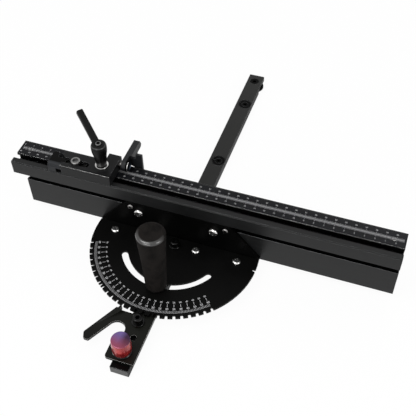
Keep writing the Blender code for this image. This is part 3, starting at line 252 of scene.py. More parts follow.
rail_black = extruded_black("rail_black", 0.0065, COOL, "X")
board_black = extruded_black("board_black", 0.0068, COOL, "X")
bar_black = extruded_black("bar_black", 0.009, (1.0, 1.02, 0.94), "Y", specular=0.27)
# Painted light: a lighter grey for the bar's near end face, where light falls on it
bar_end_painted_light = extruded_black("bar_end_painted_light", 0.04, PLAIN, "Y", specular=0.5)
# Painted shade: near black with little reflection, for slots, sockets and the back of a rim
painted_shade_black = sheet_black("painted_shade_black", 0.0012, PLAIN, 0.6, 0.03)
plate_black = sheet_black("plate_black", 0.0016, (1.0, 1.0, 0.95), 0.42, 0.07)
bracket_black = sheet_black("bracket_black", 0.0012, (1.0, 1.0, 0.97), 0.45, 0.05)
lever_black = sheet_black("lever_black", 0.006, GREEN, 0.28, 0.13)
block_black = sheet_black("block_black", 0.0085, COOL, 0.38, 0.15)
arm_black = sheet_black("arm_black", 0.009, (0.92, 1.0, 1.15), 0.42, 0.25)
cursor_blue_black = sheet_black("cursor_blue_black", 0.009, (0.85, 1.0, 1.25), 0.45, 0.24)
cast_black = sheet_black("cast_black", 0.003, PLAIN, 0.42, 0.14, 1500.0, 0.0001)
ruler_black = sheet_black("ruler_black", 0.004, (0.9, 0.97, 1.3), 0.34, 0.16)
oiled_black = sheet_black("oiled_black", 0.001, PLAIN, 0.3, 0.05)
glossy_black = sheet_black("glossy_black", 0.001, PLAIN, 0.14, 0.3)
# Painted highlights: lighter finishes for broken edges and rims, where light glints
edge_highlight_grey = bright_metal("edge_highlight_grey", 0.24, COOL, 0.4)
edge_highlight_bright = bright_metal("edge_highlight_bright", 0.95, WARM, 0.3)
edge_highlight_faint = sheet_black("edge_highlight_faint", 0.02, COOL, 0.35, 0.5)
bright_zinc = bright_metal("bright_zinc", 0.82, (1.0, 0.99, 0.97), 0.2)
dull_steel = bright_metal("dull_steel", 0.4, (1.0, 0.97, 0.95), 0.3)
pin_blue_grey = bright_metal("pin_blue_grey", 0.09, (0.75, 0.95, 1.25), 0.3)
# Painted highlight for the indexing lever's broken edges
painted_edge_highlight = sheet_black("painted_edge_highlight", 0.36, (1.0, 1.0, 0.97), 0.5, 0.5)
# Steel for the cursor screw's head, and a painted highlight on the knob's foot ring
steel_and_painted_highlight = bright_metal("steel_and_painted_highlight", 0.28, WARM, 0.3)
oiled_steel = bright_metal("oiled_steel", 0.16, PLAIN, 0.35)
foam = foam_black(*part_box("handle_grip"))
violet = knob_top(*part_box("index_knob"))
red = knob_side()
print_white = white_print("print_white", 0.55)
print_dim = white_print("print_dim", 0.34)
ruler_print_grey = white_print("ruler_print_grey", 0.42)


# Modelling

def deselect():
    bpy.ops.object.select_all(action="DESELECT")


def pick(piece):
    """Select this piece alone and make it the active one."""
    deselect()
    piece.select_set(True)
    bpy.context.view_layer.objects.active = piece


def edit(piece):
    """Open one piece in edit mode with nothing selected in it."""
    pick(piece)
    bpy.ops.object.mode_set(mode="EDIT")
    bpy.ops.mesh.select_all(action="DESELECT")


def leave():
    bpy.ops.object.mode_set(mode="OBJECT")


def apply_modifier(piece, kind, **settings):
    """Add one modifier, set it and apply it."""
    pick(piece)
    modifier = piece.modifiers.new(kind.lower(), kind)
    for name, value in settings.items():
        setattr(modifier, name, value)
    bpy.ops.object.modifier_apply(modifier=modifier.name)


def settle(piece):
    """Put the piece's place into its mesh and turn its faces outwards."""
    pick(piece)
    bpy.ops.object.transform_apply(location=True, rotation=True, scale=True)
    bpy.ops.object.mode_set(mode="EDIT")
    bpy.ops.mesh.select_all(action="SELECT")
    bpy.ops.mesh.remove_doubles(threshold=0.000001)
    bpy.ops.mesh.normals_make_consistent(inside=False)
    leave()


def smooth(piece, angle=35.0):
    """Smooth round faces and keep flat ones flat."""
    pick(piece)
    bpy.ops.object.shade_smooth_by_angle(angle=math.radians(angle))


def foot_of(node):
    """The middle of a CAD node's underside."""
    low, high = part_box(node)
    return ((low.x + high.x) / 2, (low.y + high.y) / 2, low.z)


def finish(piece, finishes, *nodes):
    """Give the piece its finishes and let it stand for its CAD nodes."""
    while len(piece.data.materials) < len(finishes):
        piece.data.materials.append(None)
    for index, material in enumerate(finishes):
        piece.data.materials[index] = material
    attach(piece, BODY_OF[nodes[0]])
    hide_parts(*nodes)
    return piece


def break_edges(piece, width, segments, marked):
    """Bevel the sharp edges, in the second finish where marked as a painted highlight, and keep the flats
    flat.
    """
    apply_modifier(piece, "BEVEL", width=width, segments=segments, limit_method="ANGLE",
                   angle_limit=EDGE_ANGLE, material=1 if marked else -1)
    smooth(piece, 50.0)
    apply_modifier(piece, "WEIGHTED_NORMAL", keep_sharp=True)


def dress(node, finishes, width, segments=2, deep=None, cut=None):
    """A copy of a CAD node, merged and with its edges broken.

    The second finish goes on the broken edges as a painted highlight, and deep gives each face's finish by
    its middle. A cut across the bar's way splits the faces first.
    """
    source = frame["nodes"][node]
    piece = bpy.data.objects.new("dressed_" + node, source.data.copy())
    bpy.context.scene.collection.objects.link(piece)
    piece.data.materials.clear()
    for material in finishes:
        piece.data.materials.append(material)
    edit(piece)
    bpy.ops.mesh.select_all(action="SELECT")
    bpy.ops.mesh.remove_doubles(threshold=0.000002)
    bpy.ops.mesh.dissolve_limited(angle_limit=math.radians(0.5))
    leave()
    if cut:
        edit(piece)
        bpy.ops.mesh.select_all(action="SELECT")
        bpy.ops.mesh.bisect(plane_co=cut, plane_no=(0, 1, 0))
        leave()
    if deep:
        for polygon in piece.data.polygons:
            polygon.material_index = deep(polygon.center)
    break_edges(piece, width, segments, len(finishes) > 1)
    return finish(piece, finishes, node)


def lathe(name, profile, sides=64, ring=False):
    """Turn a profile of (radius, height) by extruding a circle up through it.

    A ring's last loop is bridged to its first; any other piece is closed by a cap at each end.
    """
    deselect()
    radius, height = profile[0]
    bpy.ops.mesh.primitive_circle_add(vertices=sides, radius=radius, location=(0, 0, 0),
                                      fill_type="NOTHING" if ring else "NGON")
    piece = bpy.context.active_object
    piece.name = name
    bpy.ops.object.mode_set(mode="EDIT")
    bpy.ops.mesh.select_mode(type="EDGE" if ring else "FACE")
    bpy.ops.mesh.select_all(action="SELECT")
    bpy.ops.transform.translate(value=(0, 0, height))
    for next_radius, next_height in profile[1:]:
        step = {"value": (0, 0, next_height - height)}
        if ring:
            bpy.ops.mesh.extrude_edges_move(TRANSFORM_OT_translate=step)
        else:
            bpy.ops.mesh.extrude_region_move(TRANSFORM_OT_translate=step)
        ratio = next_radius / radius
        bpy.ops.transform.resize(value=(ratio, ratio, 1), center_override=(0, 0, next_height))
        radius, height = next_radius, next_height
    if ring:
        bpy.ops.mesh.select_all(action="DESELECT")
        bpy.ops.mesh.select_non_manifold()
        bpy.ops.mesh.bridge_edge_loops()
    bpy.ops.mesh.select_mode(type="VERT")
    leave()
    return piece


def stand(piece, place, axis="Z"):
    """Turn the piece's own Z to an axis, move it to its place and settle it there."""
    turns = {"Z": (0, 0, 0), "-Y": (math.pi / 2, 0, 0), "X": (0, math.pi / 2, 0)}
    piece.rotation_euler = turns[axis]
    piece.location = place
    settle(piece)
    return piece


def hex_hole(piece, radius, top, depth):
    """Sink a hexagon socket into the top of a piece that stands at the origin."""
    deselect()
    bpy.ops.mesh.primitive_cylinder_add(vertices=6, radius=radius, depth=depth * 2, location=(0, 0, top))
    cutter = bpy.context.active_object
    apply_modifier(piece, "BOOLEAN", operation="DIFFERENCE", object=cutter, solver="EXACT")
    bpy.data.objects.remove(cutter, do_unlink=True)


def arc_points(middle, height, radius, start, end, steps):
    """Points along a round from one angle to another, in degrees."""
    angles = [math.radians(start + (end - start) * i / steps) for i in range(steps + 1)]
    return [(middle + radius * math.cos(a), height + radius * math.sin(a)) for a in angles]


def copies(piece, count):
    """The piece and its copies, each with its own mesh."""
    made = [piece]
    for _ in range(count - 1):
        twin = piece.copy()
        twin.data = piece.data.copy()
        bpy.context.scene.collection.objects.link(twin)
        made.append(twin)
    return made


def socket_screws(nodes, head_height, shank, finishes, round_part=0.5, socket=0.52, axis="Z"):
    """Screws with a domed or flat head and a hexagon socket, one for each CAD node.

    The second finish goes into the socket, darker, as painted shade.
    """
    low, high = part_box(nodes[0])
    head = (high.x - low.x) / 2
    length = high.z - low.z if axis == "Z" else high.y - low.y
    seat = length - head_height
    dome = min(head_height * round_part, head * 0.4)
    profile = [(shank * 0.8, 0), (shank, shank * 0.25), (shank, seat), (head - 0.1 * MM, seat),
               (head, seat + 0.12 * MM)]
    profile += arc_points(head - dome, length - dome, dome, 0, 75, 5)
    profile.append((head * socket * 1.12, length))
    pattern = lathe("screw_pattern", profile, 48)
    hex_hole(pattern, head * socket, length, head_height * 0.62)
    apply_modifier(pattern, "BEVEL", width=0.08 * MM, segments=1, limit_method="ANGLE",
                   angle_limit=math.radians(50))
    # The socket's walls take the second finish: painted shade
    for polygon in pattern.data.polygons:
        reach = math.hypot(polygon.center.x, polygon.center.y)
        if reach < head * socket * 0.95 and seat < polygon.center.z < length - 0.02 * MM:
            polygon.material_index = 1
    for node, piece in zip(nodes, copies(pattern, len(nodes))):
        low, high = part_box(node)
        middle = (low + high) / 2
        stand(piece, (middle.x, middle.y, low.z) if axis == "Z" else (middle.x, high.y, middle.z), axis)
        piece.name = "turned_" + node
        smooth(piece)
        finish(piece, finishes, node)


def flat_screws(nodes, shank, sink, finishes):
    """Countersunk screws with a hexagon socket, one for each CAD node."""
    low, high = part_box(nodes[0])
    head = (high.x - low.x) / 2
    length = high.z - low.z
    profile = [(shank * 0.8, 0), (shank, shank * 0.25), (shank, length - sink), (head, length - 0.3 * MM),
               (head, length - 0.12 * MM), (head - 0.12 * MM, length)]
    pattern = lathe("screw_pattern", profile, 48)
    hex_hole(pattern, shank * 0.95, length, sink * 0.7)
    # The top rim takes the second finish, mostly a lighter painted highlight
    for polygon in pattern.data.polygons:
        reach = math.hypot(polygon.center.x, polygon.center.y)
        if abs(polygon.center.z - length + 0.06 * MM) < 0.05 * MM and reach > head * 0.9:
            polygon.material_index = 1
    for node, piece in zip(nodes, copies(pattern, len(nodes))):
        stand(piece, foot_of(node))
        piece.name = "turned_" + node
        smooth(piece)
        finish(piece, finishes, node)


def washer(node, inner, finish_with, edge=0.25 * MM):
    """A washer or bush with its four edges broken, in its CAD node's place."""
    low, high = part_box(node)
    outer = (high.x - low.x) / 2
    tall = high.z - low.z
    profile = [(inner + edge, 0), (outer - edge, 0), (outer, edge), (outer, tall - edge),
               (outer - edge, tall), (inner + edge, tall), (inner, tall - edge), (inner, edge)]
    piece = lathe("turned_" + node, profile, 72, ring=True)
    stand(piece, foot_of(node))
    smooth(piece)
    return finish(piece, [finish_with], node)


# Bar, with what is fixed to it

BAR_LOW, BAR_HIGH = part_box("miter_bar")
SKIN = 0.1 * MM             # a face whose middle is nearer than this to the bar's side is that side
PLATE_NEAR = -85.0 * MM     # where the bar comes out from under the plate


def bar_face(centre):
    """Painted light on the near end, painted shade on the top from it to the plate; the sides are darker."""
    if centre.y < BAR_LOW.y + SKIN:
        return 2
    if abs(centre.x) > BAR_HIGH.x - SKIN:
        return 4
    return 3 if centre.y < PLATE_NEAR and centre.z > BAR_HIGH.z - SKIN else 0


# The bar's near end face carries painted light, and its top near the end painted shade
dress("miter_bar", [bar_black, edge_highlight_grey, bar_end_painted_light, oiled_black, plate_black], 0.3 * MM,
      deep=bar_face, cut=(0, PLATE_NEAR, 0))
for number in (1, 2):
    dress("expansion_disc_%d" % number, [oiled_black, edge_highlight_faint], 0.2 * MM)
flat_screws(["expansion_screw_1", "expansion_screw_2"], 2.0 * MM, 2.2 * MM, [oiled_black, edge_highlight_faint])
flat_screws(["guide_screw"], 2.5 * MM, 2.8 * MM, [oiled_black, edge_highlight_faint])
washer("guide_washer", 2.8 * MM, oiled_black, 0.4 * MM)


def make_pivot_screw():
    """The pivot's tall socket head on its broad collar."""
    low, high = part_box("pivot_screw")
    seat = high.z - low.z - 3.6 * MM
    shank = 3.0 * MM
    collar = 5.9 * MM
    head = 4.6 * MM
    collar_top = seat + 1.5 * MM
    top = collar_top + 5.6 * MM
    profile = [(shank * 0.8, 0), (shank, shank * 0.25), (shank, seat), (collar - 0.2 * MM, seat),
               (collar, seat + 0.2 * MM), (collar, collar_top - 0.3 * MM), (collar - 0.3 * MM, collar_top),
               (head, collar_top + 0.1 * MM), (head, top - 0.6 * MM), (head - 0.2 * MM, top - 0.2 * MM),
               (head - 0.6 * MM, top)]
    piece = lathe("turned_pivot_screw", profile, 56)
    hex_hole(piece, 2.6 * MM, top, 3.0 * MM)
    stand(piece, foot_of("pivot_screw"))
    smooth(piece)
    finish(piece, [glossy_black], "pivot_screw")


make_pivot_screw()
washer("index_washer", 2.8 * MM, glossy_black)
socket_screws(["index_screw"], 6.5 * MM, 2.5 * MM, [glossy_black, painted_shade_black], 0.15)
washer("clamp_spacer", 3.3 * MM, dull_steel)
# These five are mostly hidden, and stay as packed, in dull steel
for node in ("handle_stud", "knob_stud", "clamp_stud", "stop_nut", "handle_core"):
    frame["nodes"][node].data.materials.clear()
    frame["nodes"][node].data.materials.append(dull_steel)


# Head

def in_rail_slot(centre):
    """The T-slot's inside and the rail's underside are painted near black, as shade."""
    near, far, top, underside = 17.1 * MM, 29.9 * MM, 70.4 * MM, 54.8 * MM
    in_slot = near < centre.y < far and centre.z < top
    return 2 if in_slot or centre.z < underside else 0


def in_board_slot(centre):
    """The inside of the slot in the board's near face, painted near black, as shade."""
    near, far, bottom, top = 14.8 * MM, 24.5 * MM, 43.3 * MM, 52.2 * MM
    return 2 if near < centre.y < far and bottom < centre.z < top else 0


dress("fence_board", [board_black, edge_highlight_grey, painted_shade_black], 0.25 * MM, deep=in_board_slot)
dress("fence_rail", [rail_black, edge_highlight_grey, painted_shade_black], 0.4 * MM, deep=in_rail_slot)
dress("angle_bracket", [bracket_black, edge_highlight_faint], 0.3 * MM)
dress("protractor_plate", [plate_black, edge_highlight_faint], 0.25 * MM)
dress("ruler_strip", [ruler_black, edge_highlight_bright], 0.15 * MM, 1)
SIDES = ("left", "right")
socket_screws(["plate_screw_%d" % number for number in range(1, 5)], 2.4 * MM, 2.0 * MM,
              [bright_zinc, oiled_steel], 0.8, 0.42)
socket_screws(["bracket_screw_" + side for side in SIDES], 2.8 * MM, 2.0 * MM,
              [bright_zinc, oiled_steel], 0.8, 0.42, axis="-Y")
socket_screws(["adjusting_screw_" + side for side in SIDES], 1.6 * MM, 1.5 * MM,
              [dull_steel, painted_shade_black], 0.6, 0.5, axis="-Y")
flat_screws(["ruler_screw_" + side for side in SIDES], 1.0 * MM, 0.9 * MM, [oiled_black, edge_highlight_bright])
flat_screws(["rail_screw_%d" % number for number in range(1, 4)], 2.0 * MM, 2.4 * MM,
            [dull_steel, dull_steel])


# Handle

def make_grip():
    """The foam grip, wider and rounded at its top, hollow round its core."""
    low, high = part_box("handle_grip")
    tall = high.z - low.z
    top = (high.x - low.x) / 2
    base = 11.0 * MM
    bore = 7.3 * MM
    cap = 51.6 * MM
    corner = 3.2 * MM
    profile = [(bore, cap), (bore, 0), (base - 0.9 * MM, 0)]
    profile += arc_points(base - 0.9 * MM, 0.9 * MM, 0.9 * MM, -60, 0, 3)
    for i in range(1, 9):
        share = i / 9
        swell = base + (top - base) * (share - 0.12 * math.sin(math.pi * share))
        profile.append((swell, 0.9 * MM + (tall - corner - 0.9 * MM) * share))
    profile += arc_points(top - corner, tall - corner, corner, 0, 90, 8)
    profile += [(top - corner - 1.2 * MM, tall - 0.12 * MM), (top - corner - 2.4 * MM, tall - 0.5 * MM),
                (top * 0.4, tall - 0.7 * MM), (top * 0.1, tall - 0.75 * MM)]
    piece = lathe("foam_grip", profile, 96)
    stand(piece, foot_of("handle_grip"))
    smooth(piece, 60.0)
    finish(piece, [foam], "handle_grip")


make_grip()
washer("handle_washer", 3.3 * MM, oiled_black)


# Indexing lever and its knob

def flat_shape(name, loops, low, high):
    """A plate between two heights from its outline and the outlines of its holes."""
    curve = bpy.data.curves.new(name, "CURVE")
    curve.dimensions = "2D"
    curve.fill_mode = "BOTH"
    curve.extrude = (high - low) / 2
    for loop in loops:
        spline = curve.splines.new("POLY")
        spline.points.add(len(loop) - 1)
        for point, (x, y) in zip(spline.points, loop):
            point.co = (x, y, 0, 1)
        spline.use_cyclic_u = True
    piece = bpy.data.objects.new(name, curve)
    bpy.context.scene.collection.objects.link(piece)
    pick(piece)
    bpy.ops.object.convert(target="MESH")
    piece = bpy.context.active_object
    piece.location = (0, 0, (low + high) / 2)
    settle(piece)
    return piece


def rim_place(radius, bearing, level):
    """A point by its bearing from the near end of the bar, positive to the right."""
    angle = math.radians(bearing)
    return (radius * math.sin(angle), -radius * math.cos(angle), level)


def make_lever():
    """The indexing lever: its thumb arm, the hollow for a finger, the tail and the tooth at the rim."""
    low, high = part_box("index_lever")
    thick = 3.0 * MM
    knob_low, knob_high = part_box("index_knob")
    knob = (knob_low + knob_high) / 2
    screw_low, screw_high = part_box("index_screw")
    screw = (screw_low + screw_high) / 2
    # Corners in millimetres from the head's pivot
    outline = [(12.2, -142.4), (12.2, -84.0), (-8.4, -84.0), (-10.6, -89.6), (-21.6, -89.4),
               (-28.3, -87.2), (-46.9, -122.2), (-47.2, -123.2), (-47.1, -124.2), (-45.3, -129.0),
               (-44.8, -129.8), (-44.0, -130.2), (-40.6, -130.3), (-39.9, -130.2), (-39.3, -129.5)]
    outline += arc_points(-18.9, -110.5, 8.7, 152, 0, 14)
    outline += [(-10.4, -116.8), (-17.6, -125.2)] + arc_points(-14.6, -139.4, 3.0, 180, 270, 6)
    stud = 2.8 * MM
    swing = 3.3 * MM
    slot = arc_points(knob.x, knob.y, stud, 90, 270, 10)
    slot += arc_points(knob.x + swing, knob.y, stud, 270, 450, 10)
    pivot_hole = arc_points(screw.x, screw.y, stud, 0, 350, 24)
    spare_hole = arc_points(1.0 * MM, -114.8 * MM, 3.1 * MM, 0, 350, 28)
    loops = [[(x * MM, y * MM) for x, y in outline], slot, pivot_hole, spare_hole]
    lever = flat_shape("lever_plate", loops, low.z, low.z + thick)
    lever.data.materials.clear()
    for material in (lever_black, painted_edge_highlight):
        lever.data.materials.append(material)
    # The broken edges take the lighter second finish, a painted highlight
    break_edges(lever, 0.75 * MM, 1, True)
    outward = Vector(rim_place(1.0, ZERO_BEARING, 0.0))
    along = Vector((-outward.y, outward.x, 0.0))
    corners = [(92.7, -1.7), (91.7, -1.7), (89.3, -1.15), (89.3, 0.15), (91.7, 0.7), (92.7, 0.7)]
    tooth = [tuple((outward * radius + along * across).xy * MM) for radius, across in corners]
    cutter = flat_shape("lever_tooth", [tooth], low.z, high.z)
    apply_modifier(lever, "BOOLEAN", operation="UNION", object=cutter, solver="EXACT")
    bpy.data.objects.remove(cutter, do_unlink=True)
    smooth(lever, 50.0)
    finish(lever, [lever_black, painted_edge_highlight], "index_lever")
    for polygon in lever.data.polygons:
        polygon.material_index = min(polygon.material_index, 1)


make_lever()


def make_knob():
    """The turned knob: violet top, red side, black foot ring with a painted highlight at its left."""
    low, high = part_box("index_knob")
    tall = high.z - low.z
    wide = (high.x - low.x) / 2
    top = wide - 0.4 * MM
    bore = 2.8 * MM
    ring_top = 1.6 * MM
    profile = [(bore, tall - 6.0 * MM), (bore, 0), (wide - 0.4 * MM, 0), (wide, 0.3 * MM),
               (wide, 0.9 * MM), (wide - 0.8 * MM, 1.5 * MM), (wide - 0.5 * MM, 2.6 * MM),
               (wide, 4.0 * MM), (wide, tall * 0.55), (top, tall - 1.2 * MM)]
    profile += arc_points(top - 0.8 * MM, tall - 1.0 * MM, 0.8 * MM, 0, 75, 4)
    profile += [(top - 1.7 * MM, tall - 0.35 * MM), (top * 0.6, tall - 0.3 * MM),
                (top * 0.12, tall - 0.25 * MM)]
    piece = lathe("turned_knob", profile, 80)
    stand(piece, foot_of("index_knob"))
    smooth(piece, 40.0)
    finish(piece, [red, violet, steel_and_painted_highlight, glossy_black], "index_knob")
    for polygon in piece.data.polygons:
        height = polygon.center.z - low.z
        if height > tall - 1.15 * MM:
            polygon.material_index = 1
        if height < ring_top:
            # The foot ring's left part is a painted highlight in steel, the rest black
            at_left = polygon.center.x < (low.x + high.x) / 2 - 5.5 * MM
            polygon.material_index = 2 if at_left else 3


make_knob()


# Flip stop

def dress_block():
    """The stop's block, its top front edge painted bright as a highlight."""
    low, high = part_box("stop_block")
    piece = dress("stop_block", [block_black, edge_highlight_grey, edge_highlight_bright], 0.45 * MM)
    for polygon in piece.data.polygons:
        if polygon.material_index == 1 and polygon.center.y < low.y + 0.6 * MM and polygon.normal.z > 0.2:
            polygon.material_index = 2


dress_block()


def in_tongue(centre):
    """The cursor's tongue, which lies in the block's groove, is painted darker, as shade."""
    root = -127.1 * MM
    return 2 if centre.x > root else 0


dress("cursor", [cursor_blue_black, edge_highlight_faint, plate_black], 0.25 * MM, deep=in_tongue)
dress("flip_arm", [arm_black, edge_highlight_faint], 0.5 * MM)
socket_screws(["cursor_screw"], 3.0 * MM, 2.0 * MM, [steel_and_painted_highlight, oiled_steel], 0.25, 0.66)
socket_screws(["clamp_lever_screw"], 2.2 * MM, 1.5 * MM, [oiled_steel, painted_shade_black], 0.3, 0.6)
washer("clamp_washer", 3.3 * MM, bright_zinc)


def make_clamp_lever():
    """The clamping lever: a hub that narrows to its foot, and the flat arm that rises from its head."""
    low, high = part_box("clamp_lever_screw")
    axis = ((low.x + high.x) / 2, (low.y + high.y) / 2)
    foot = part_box("clamp_lever")[0].z
    tall = 28.6
    profile = [(3.3, 0), (4.9, 0), (5.3, 0.5), (6.9, tall - 14.0), (7.6, tall - 11.0), (7.9, tall - 9.0),
               (8.0, tall - 6.0), (8.0, tall - 3.0), (7.6, tall - 1.5), (6.9, tall - 0.6), (5.6, tall),
               (4.0, tall), (3.6, tall - 0.4), (3.6, tall - 1.5), (1.7, tall - 1.5), (1.7, tall - 7.0),
               (3.3, tall - 7.0)]
    hub = lathe("turned_clamp_hub", [(radius * MM, height * MM) for radius, height in profile], 64, True)
    stand(hub, (axis[0], axis[1], foot))
    root, reach, rise = 4.0 * MM, 40.0 * MM, 19.0 * MM
    length = math.hypot(reach, rise)
    wide, deep, drop = 7.0 * MM, 6.2 * MM, 5.5 * MM
    turn = 140.5
    bpy.ops.mesh.primitive_cube_add(size=1, location=(0, 0, 0))
    arm = bpy.context.active_object
    edit(arm)
    bpy.ops.mesh.select_all(action="SELECT")
    bpy.ops.transform.resize(value=(length - root, wide, deep))
    bpy.ops.transform.translate(value=((length + root) / 2, 0, 0))
    leave()
    apply_modifier(arm, "BEVEL", width=1.3 * MM, segments=3, limit_method="ANGLE", angle_limit=EDGE_ANGLE)
    arm.rotation_euler = (0, -math.atan2(rise, reach), math.radians(turn))
    arm.location = (axis[0], axis[1], foot + tall * MM - drop)
    settle(arm)
    apply_modifier(hub, "BOOLEAN", operation="UNION", object=arm, solver="EXACT")
    bpy.data.objects.remove(arm, do_unlink=True)
    smooth(hub, 40.0)
    finish(hub, [cast_black, edge_highlight_faint], "clamp_lever")
    # A ring on the hub's upward-facing rim takes the lighter finish: a painted highlight
    for polygon in hub.data.polygons:
        from_axis = math.hypot(polygon.center.x - axis[0], polygon.center.y - axis[1])
        under_top = foot + tall * MM - polygon.center.z
        on_rim = 7.0 * MM < from_axis < 7.9 * MM and 0.45 * MM < under_top < 1.65 * MM
        polygon.material_index = 1 if on_rim and polygon.normal.z > 0.5 else 0


make_clamp_lever()


def make_hinge_pin():
    """The hinge pin, broad dished head at the right; its rim painted: highlight at the front, shade behind.
    """
    low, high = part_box("hinge_pin")
    length = high.x - low.x
    head = (high.z - low.z) / 2
    thick = 2.2 * MM
    pin = 2.2 * MM
    profile = [(pin * 0.8, 0), (pin, 0.4 * MM), (pin, length - thick), (head - 0.3 * MM, length - thick),
               (head, length - thick + 0.3 * MM), (head, length - 0.4 * MM), (head - 0.4 * MM, length),
               (head - 1.2 * MM, length), (head - 1.5 * MM, length - 0.35 * MM),
               (head * 0.3, length - 0.35 * MM)]
    piece = lathe("turned_hinge_pin", profile, 64)
    middle = (low + high) / 2
    stand(piece, (low.x, middle.y, middle.z), "X")
    smooth(piece)
    finish(piece, [dull_steel, pin_blue_grey, edge_highlight_bright, painted_shade_black], "hinge_pin")
    for polygon in piece.data.polygons:
        centre = polygon.center
        reach = math.hypot(centre.y - middle.y, centre.z - middle.z)
        # The head's rim: painted highlight at the front, painted shade behind
        bright = centre.x > high.x - 0.45 * MM and centre.y < middle.y
        if centre.x > high.x - thick and reach < head - 0.5 * MM:
            polygon.material_index = 1
        elif centre.x > high.x - thick:
            polygon.material_index = 2 if bright else 3


make_hinge_pin()


# Print

def joined(pieces, name):
    """Make several texts or meshes one mesh at the origin."""
    deselect()
    for piece in pieces:
        piece.select_set(True)
    bpy.context.view_layer.objects.active = pieces[0]
    bpy.ops.object.convert(target="MESH")
    bpy.ops.object.join()
    piece = bpy.context.active_object
    piece.name = name
    bpy.ops.object.transform_apply(location=True, rotation=True, scale=True)
    return piece


def number_text(words, size, place, turn):
    """One printed number, middle on its place."""
    bpy.ops.object.text_add(location=place, rotation=(0, 0, turn))
    text = bpy.context.active_object
    text.data.body = words
    text.data.size = size
    text.data.align_x = "CENTER"
    text.data.align_y = "CENTER"
    text.data.resolution_u = 2
    text.data.offset = size * 0.03
    return text


def mark(width, length, place, turn=0.0):
    """One printed stroke, lying flat, its length along the turned Y."""
    bpy.ops.mesh.primitive_plane_add(size=1.0, location=place, rotation=(0, 0, turn))
    stroke = bpy.context.active_object
    stroke.scale = (width, length, 1.0)
    bpy.ops.object.transform_apply(location=False, rotation=False, scale=True)
    return stroke


def printed(piece, finish_with, carrier):
    """Let a print ride with the part that carries it."""
    piece.data.materials.clear()
    piece.data.materials.append(finish_with)
    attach(piece, BODY_OF[carrier])


def ruler_print():
    """Millimetre strokes on both sides of a centre line, and two rows of numbers from the two ends."""
    low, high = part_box("ruler_strip")
    level = high.z + PRINT_LIFT
    near_row, centre, far_row = 29.0 * MM, 34.4 * MM, 39.6 * MM
    margin = 2.6 * MM
    number_size = 2.2 * MM
    start = low.x + margin
    span = high.x - low.x - 2 * margin
    strokes = []
    for pitch, reach, width in ((1, 1.6, 0.32), (5, 2.0, 0.34), (10, 2.4, 0.38)):
        for side in (-1, 1):
            offset = side * (0.25 + reach / 2) * MM
            stroke = mark(width * MM, reach * MM, (start, centre + offset, level))
            apply_modifier(stroke, "ARRAY", count=int(span / (pitch * MM)) + 1, use_relative_offset=False,
                           use_constant_offset=True, constant_offset_displace=(pitch * MM, 0, 0))
            strokes.append(stroke)
    line = mark(span, 0.5 * MM, ((low.x + high.x) / 2, centre, level))
    printed(joined(strokes + [line], "ruler_strokes"), ruler_print_grey, "ruler_strip")
    numbers = []
    count = int(span / (10 * MM))
    for i in range(count + 1):
        x = start + 10.0 * MM * i
        numbers.append(number_text(str(i), number_size, (x, far_row, level), 0.0))
        numbers.append(number_text(str(count - i), number_size, (x, near_row, level), 0.0))
    printed(joined(numbers, "ruler_numbers"), ruler_print_grey, "ruler_strip")


def degree_print():
    """A ring with one stroke a degree, and every five degrees two numbers joined by a leader."""
    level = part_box("protractor_plate")[1].z + PRINT_LIFT
    ring, outer_row, leader, inner_row = 83.6 * MM, 79.2 * MM, 75.1 * MM, 71.4 * MM
    limit = 60
    strokes = []
    for degree in range(-limit, limit + 1):
        bearing = degree + ZERO_BEARING
        reach = (3.0 if degree % 5 == 0 else 2.4) * MM
        place = rim_place(ring - reach / 2, bearing, level)
        strokes.append(mark(0.55 * MM, reach, place, math.radians(bearing)))
    for i in range(80):
        bearing = ZERO_BEARING - limit + 1.5 * (i + 0.5)
        strokes.append(mark(2.2 * MM, 0.4 * MM, rim_place(ring, bearing, level), math.radians(bearing)))
    printed(joined(strokes, "degree_strokes"), print_dim, "protractor_plate")
    labels = []
    for degree in range(-limit, limit + 1, 5):
        bearing = degree + ZERO_BEARING
        turn = math.radians(bearing)
        angle = str(abs(degree))
        rest = str(90 - abs(degree))
        labels.append(number_text(angle, 3.0 * MM, rim_place(outer_row, bearing, level), turn))
        labels.append(number_text(rest, 2.5 * MM, rim_place(inner_row, bearing, level), turn))
        labels.append(mark(0.45 * MM, 3.6 * MM, rim_place(leader, bearing, level), turn))
    printed(joined(labels, "degree_numbers"), print_white, "protractor_plate")


ruler_print()
degree_print()


# Floor, light and camera

def white_where_seen(tree, closure, share, mirrored):
    """Mix a plain white glow over a closure: one share where the camera meets it, one in reflections."""
    light_path = tree.nodes.new("ShaderNodeLightPath")
    seen = Value(tree, light_path.outputs["Is Camera Ray"]) * share
    for name in ("Is Glossy Ray", "Is Transmission Ray"):
        seen = seen.math("MAXIMUM", seen, Value(tree, light_path.outputs[name]) * mirrored)
    glow = tree.nodes.new("ShaderNodeEmission")
    glow.inputs["Strength"].default_value = 1.0
    mixed = tree.nodes.new("ShaderNodeMixShader")
    tree.links.new(seen.socket, mixed.inputs["Fac"])
    tree.links.new(closure, mixed.inputs[1])
    tree.links.new(glow.outputs["Emission"], mixed.inputs[2])
    return mixed.outputs["Shader"]


def make_floor():
    """A pale floor under the bar that keeps a faint shadow."""
    gap = 0.4 * MM
    deselect()
    bpy.ops.mesh.primitive_plane_add(size=8.0, location=(0, 0, -gap))
    floor = bpy.context.active_object
    floor.name = "floor"
    material = bpy.data.materials.new("floor_white")
    material.use_nodes = True
    tree = material.node_tree
    shader = shader_of(material)
    shader.inputs["Base Color"].default_value = (0.9, 0.9, 0.9, 1.0)
    shader.inputs["Roughness"].default_value = 0.9
    shader.inputs["Specular IOR Level"].default_value = 0.0
    output = tree.nodes["Material Output"]
    tree.links.new(white_where_seen(tree, shader.outputs["BSDF"], 0.95, 0.95), output.inputs["Surface"])
    floor.data.materials.append(material)


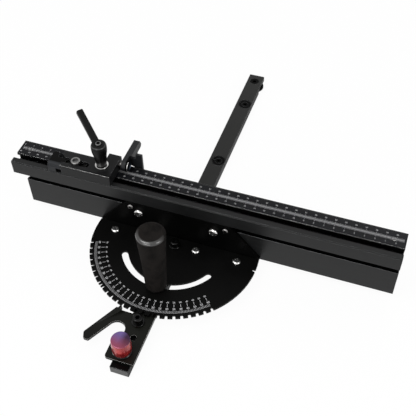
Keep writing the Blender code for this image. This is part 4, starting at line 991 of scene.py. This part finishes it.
def make_world():
    world = bpy.data.worlds.new("studio")
    bpy.context.scene.world = world
    world.use_nodes = True
    background = world.node_tree.nodes["Background"]
    background.inputs["Color"].default_value = (1.0, 1.0, 1.0, 1.0)
    background.inputs["Strength"].default_value = 0.55
    output = world.node_tree.nodes["World Output"]
    world.node_tree.links.new(white_where_seen(world.node_tree, background.outputs["Background"], 1.0, 0.5),
                              output.inputs["Surface"])


def area_light(name, place, target, size, power):
    """A soft box that points at a place."""
    data = bpy.data.lights.new(name, "AREA")
    data.shape = "RECTANGLE"
    data.size, data.size_y = size
    data.energy = power
    light = bpy.data.objects.new(name, data)
    bpy.context.scene.collection.objects.link(light)
    light.location = place
    light.rotation_euler = (Vector(target) - Vector(place)).to_track_quat("-Z", "Y").to_euler()


def make_camera():
    """The photograph's own angle and field of view, from the fit to its outlines."""
    photo_width = 416.0
    focal_pixels = 752.35
    data = bpy.data.cameras.new("camera")
    data.sensor_fit = "HORIZONTAL"
    data.sensor_width = 36.0
    data.lens = focal_pixels / photo_width * data.sensor_width
    data.clip_start = 0.01
    data.clip_end = 20.0
    camera = bpy.data.objects.new("camera", data)
    bpy.context.scene.collection.objects.link(camera)
    place = (200.11 * MM, -445.30 * MM, 634.04 * MM)
    heading, pitch, roll = math.radians(20.04), math.radians(-48.97), math.radians(1.27)
    turn = Matrix.Rotation(heading, 4, "Z") @ Matrix.Rotation(pitch, 4, "X")
    turn = turn @ Matrix.Rotation(roll, 4, "Y") @ Matrix.Rotation(math.radians(90), 4, "X")
    camera.matrix_world = Matrix.Translation(place) @ turn
    bpy.context.scene.camera = camera


make_floor()
make_world()
area_light("key", (-0.5, -0.5, 1.4), (0, 0, 0), (0.9, 0.9), 9.0)
area_light("back", (0.5, 1.1, 1.0), (0, 0.05, 0.05), (1.0, 0.6), 2.5)
area_light("front", (-0.2, -1.5, 0.5), (0, 0, 0.03), (1.2, 0.6), 7.0)
area_light("side", (1.2, -0.4, 0.8), (0.05, 0, 0.03), (0.5, 0.8), 4.0)
make_camera()
bpy.context.scene.view_settings.view_transform = "Standard"
deselect()
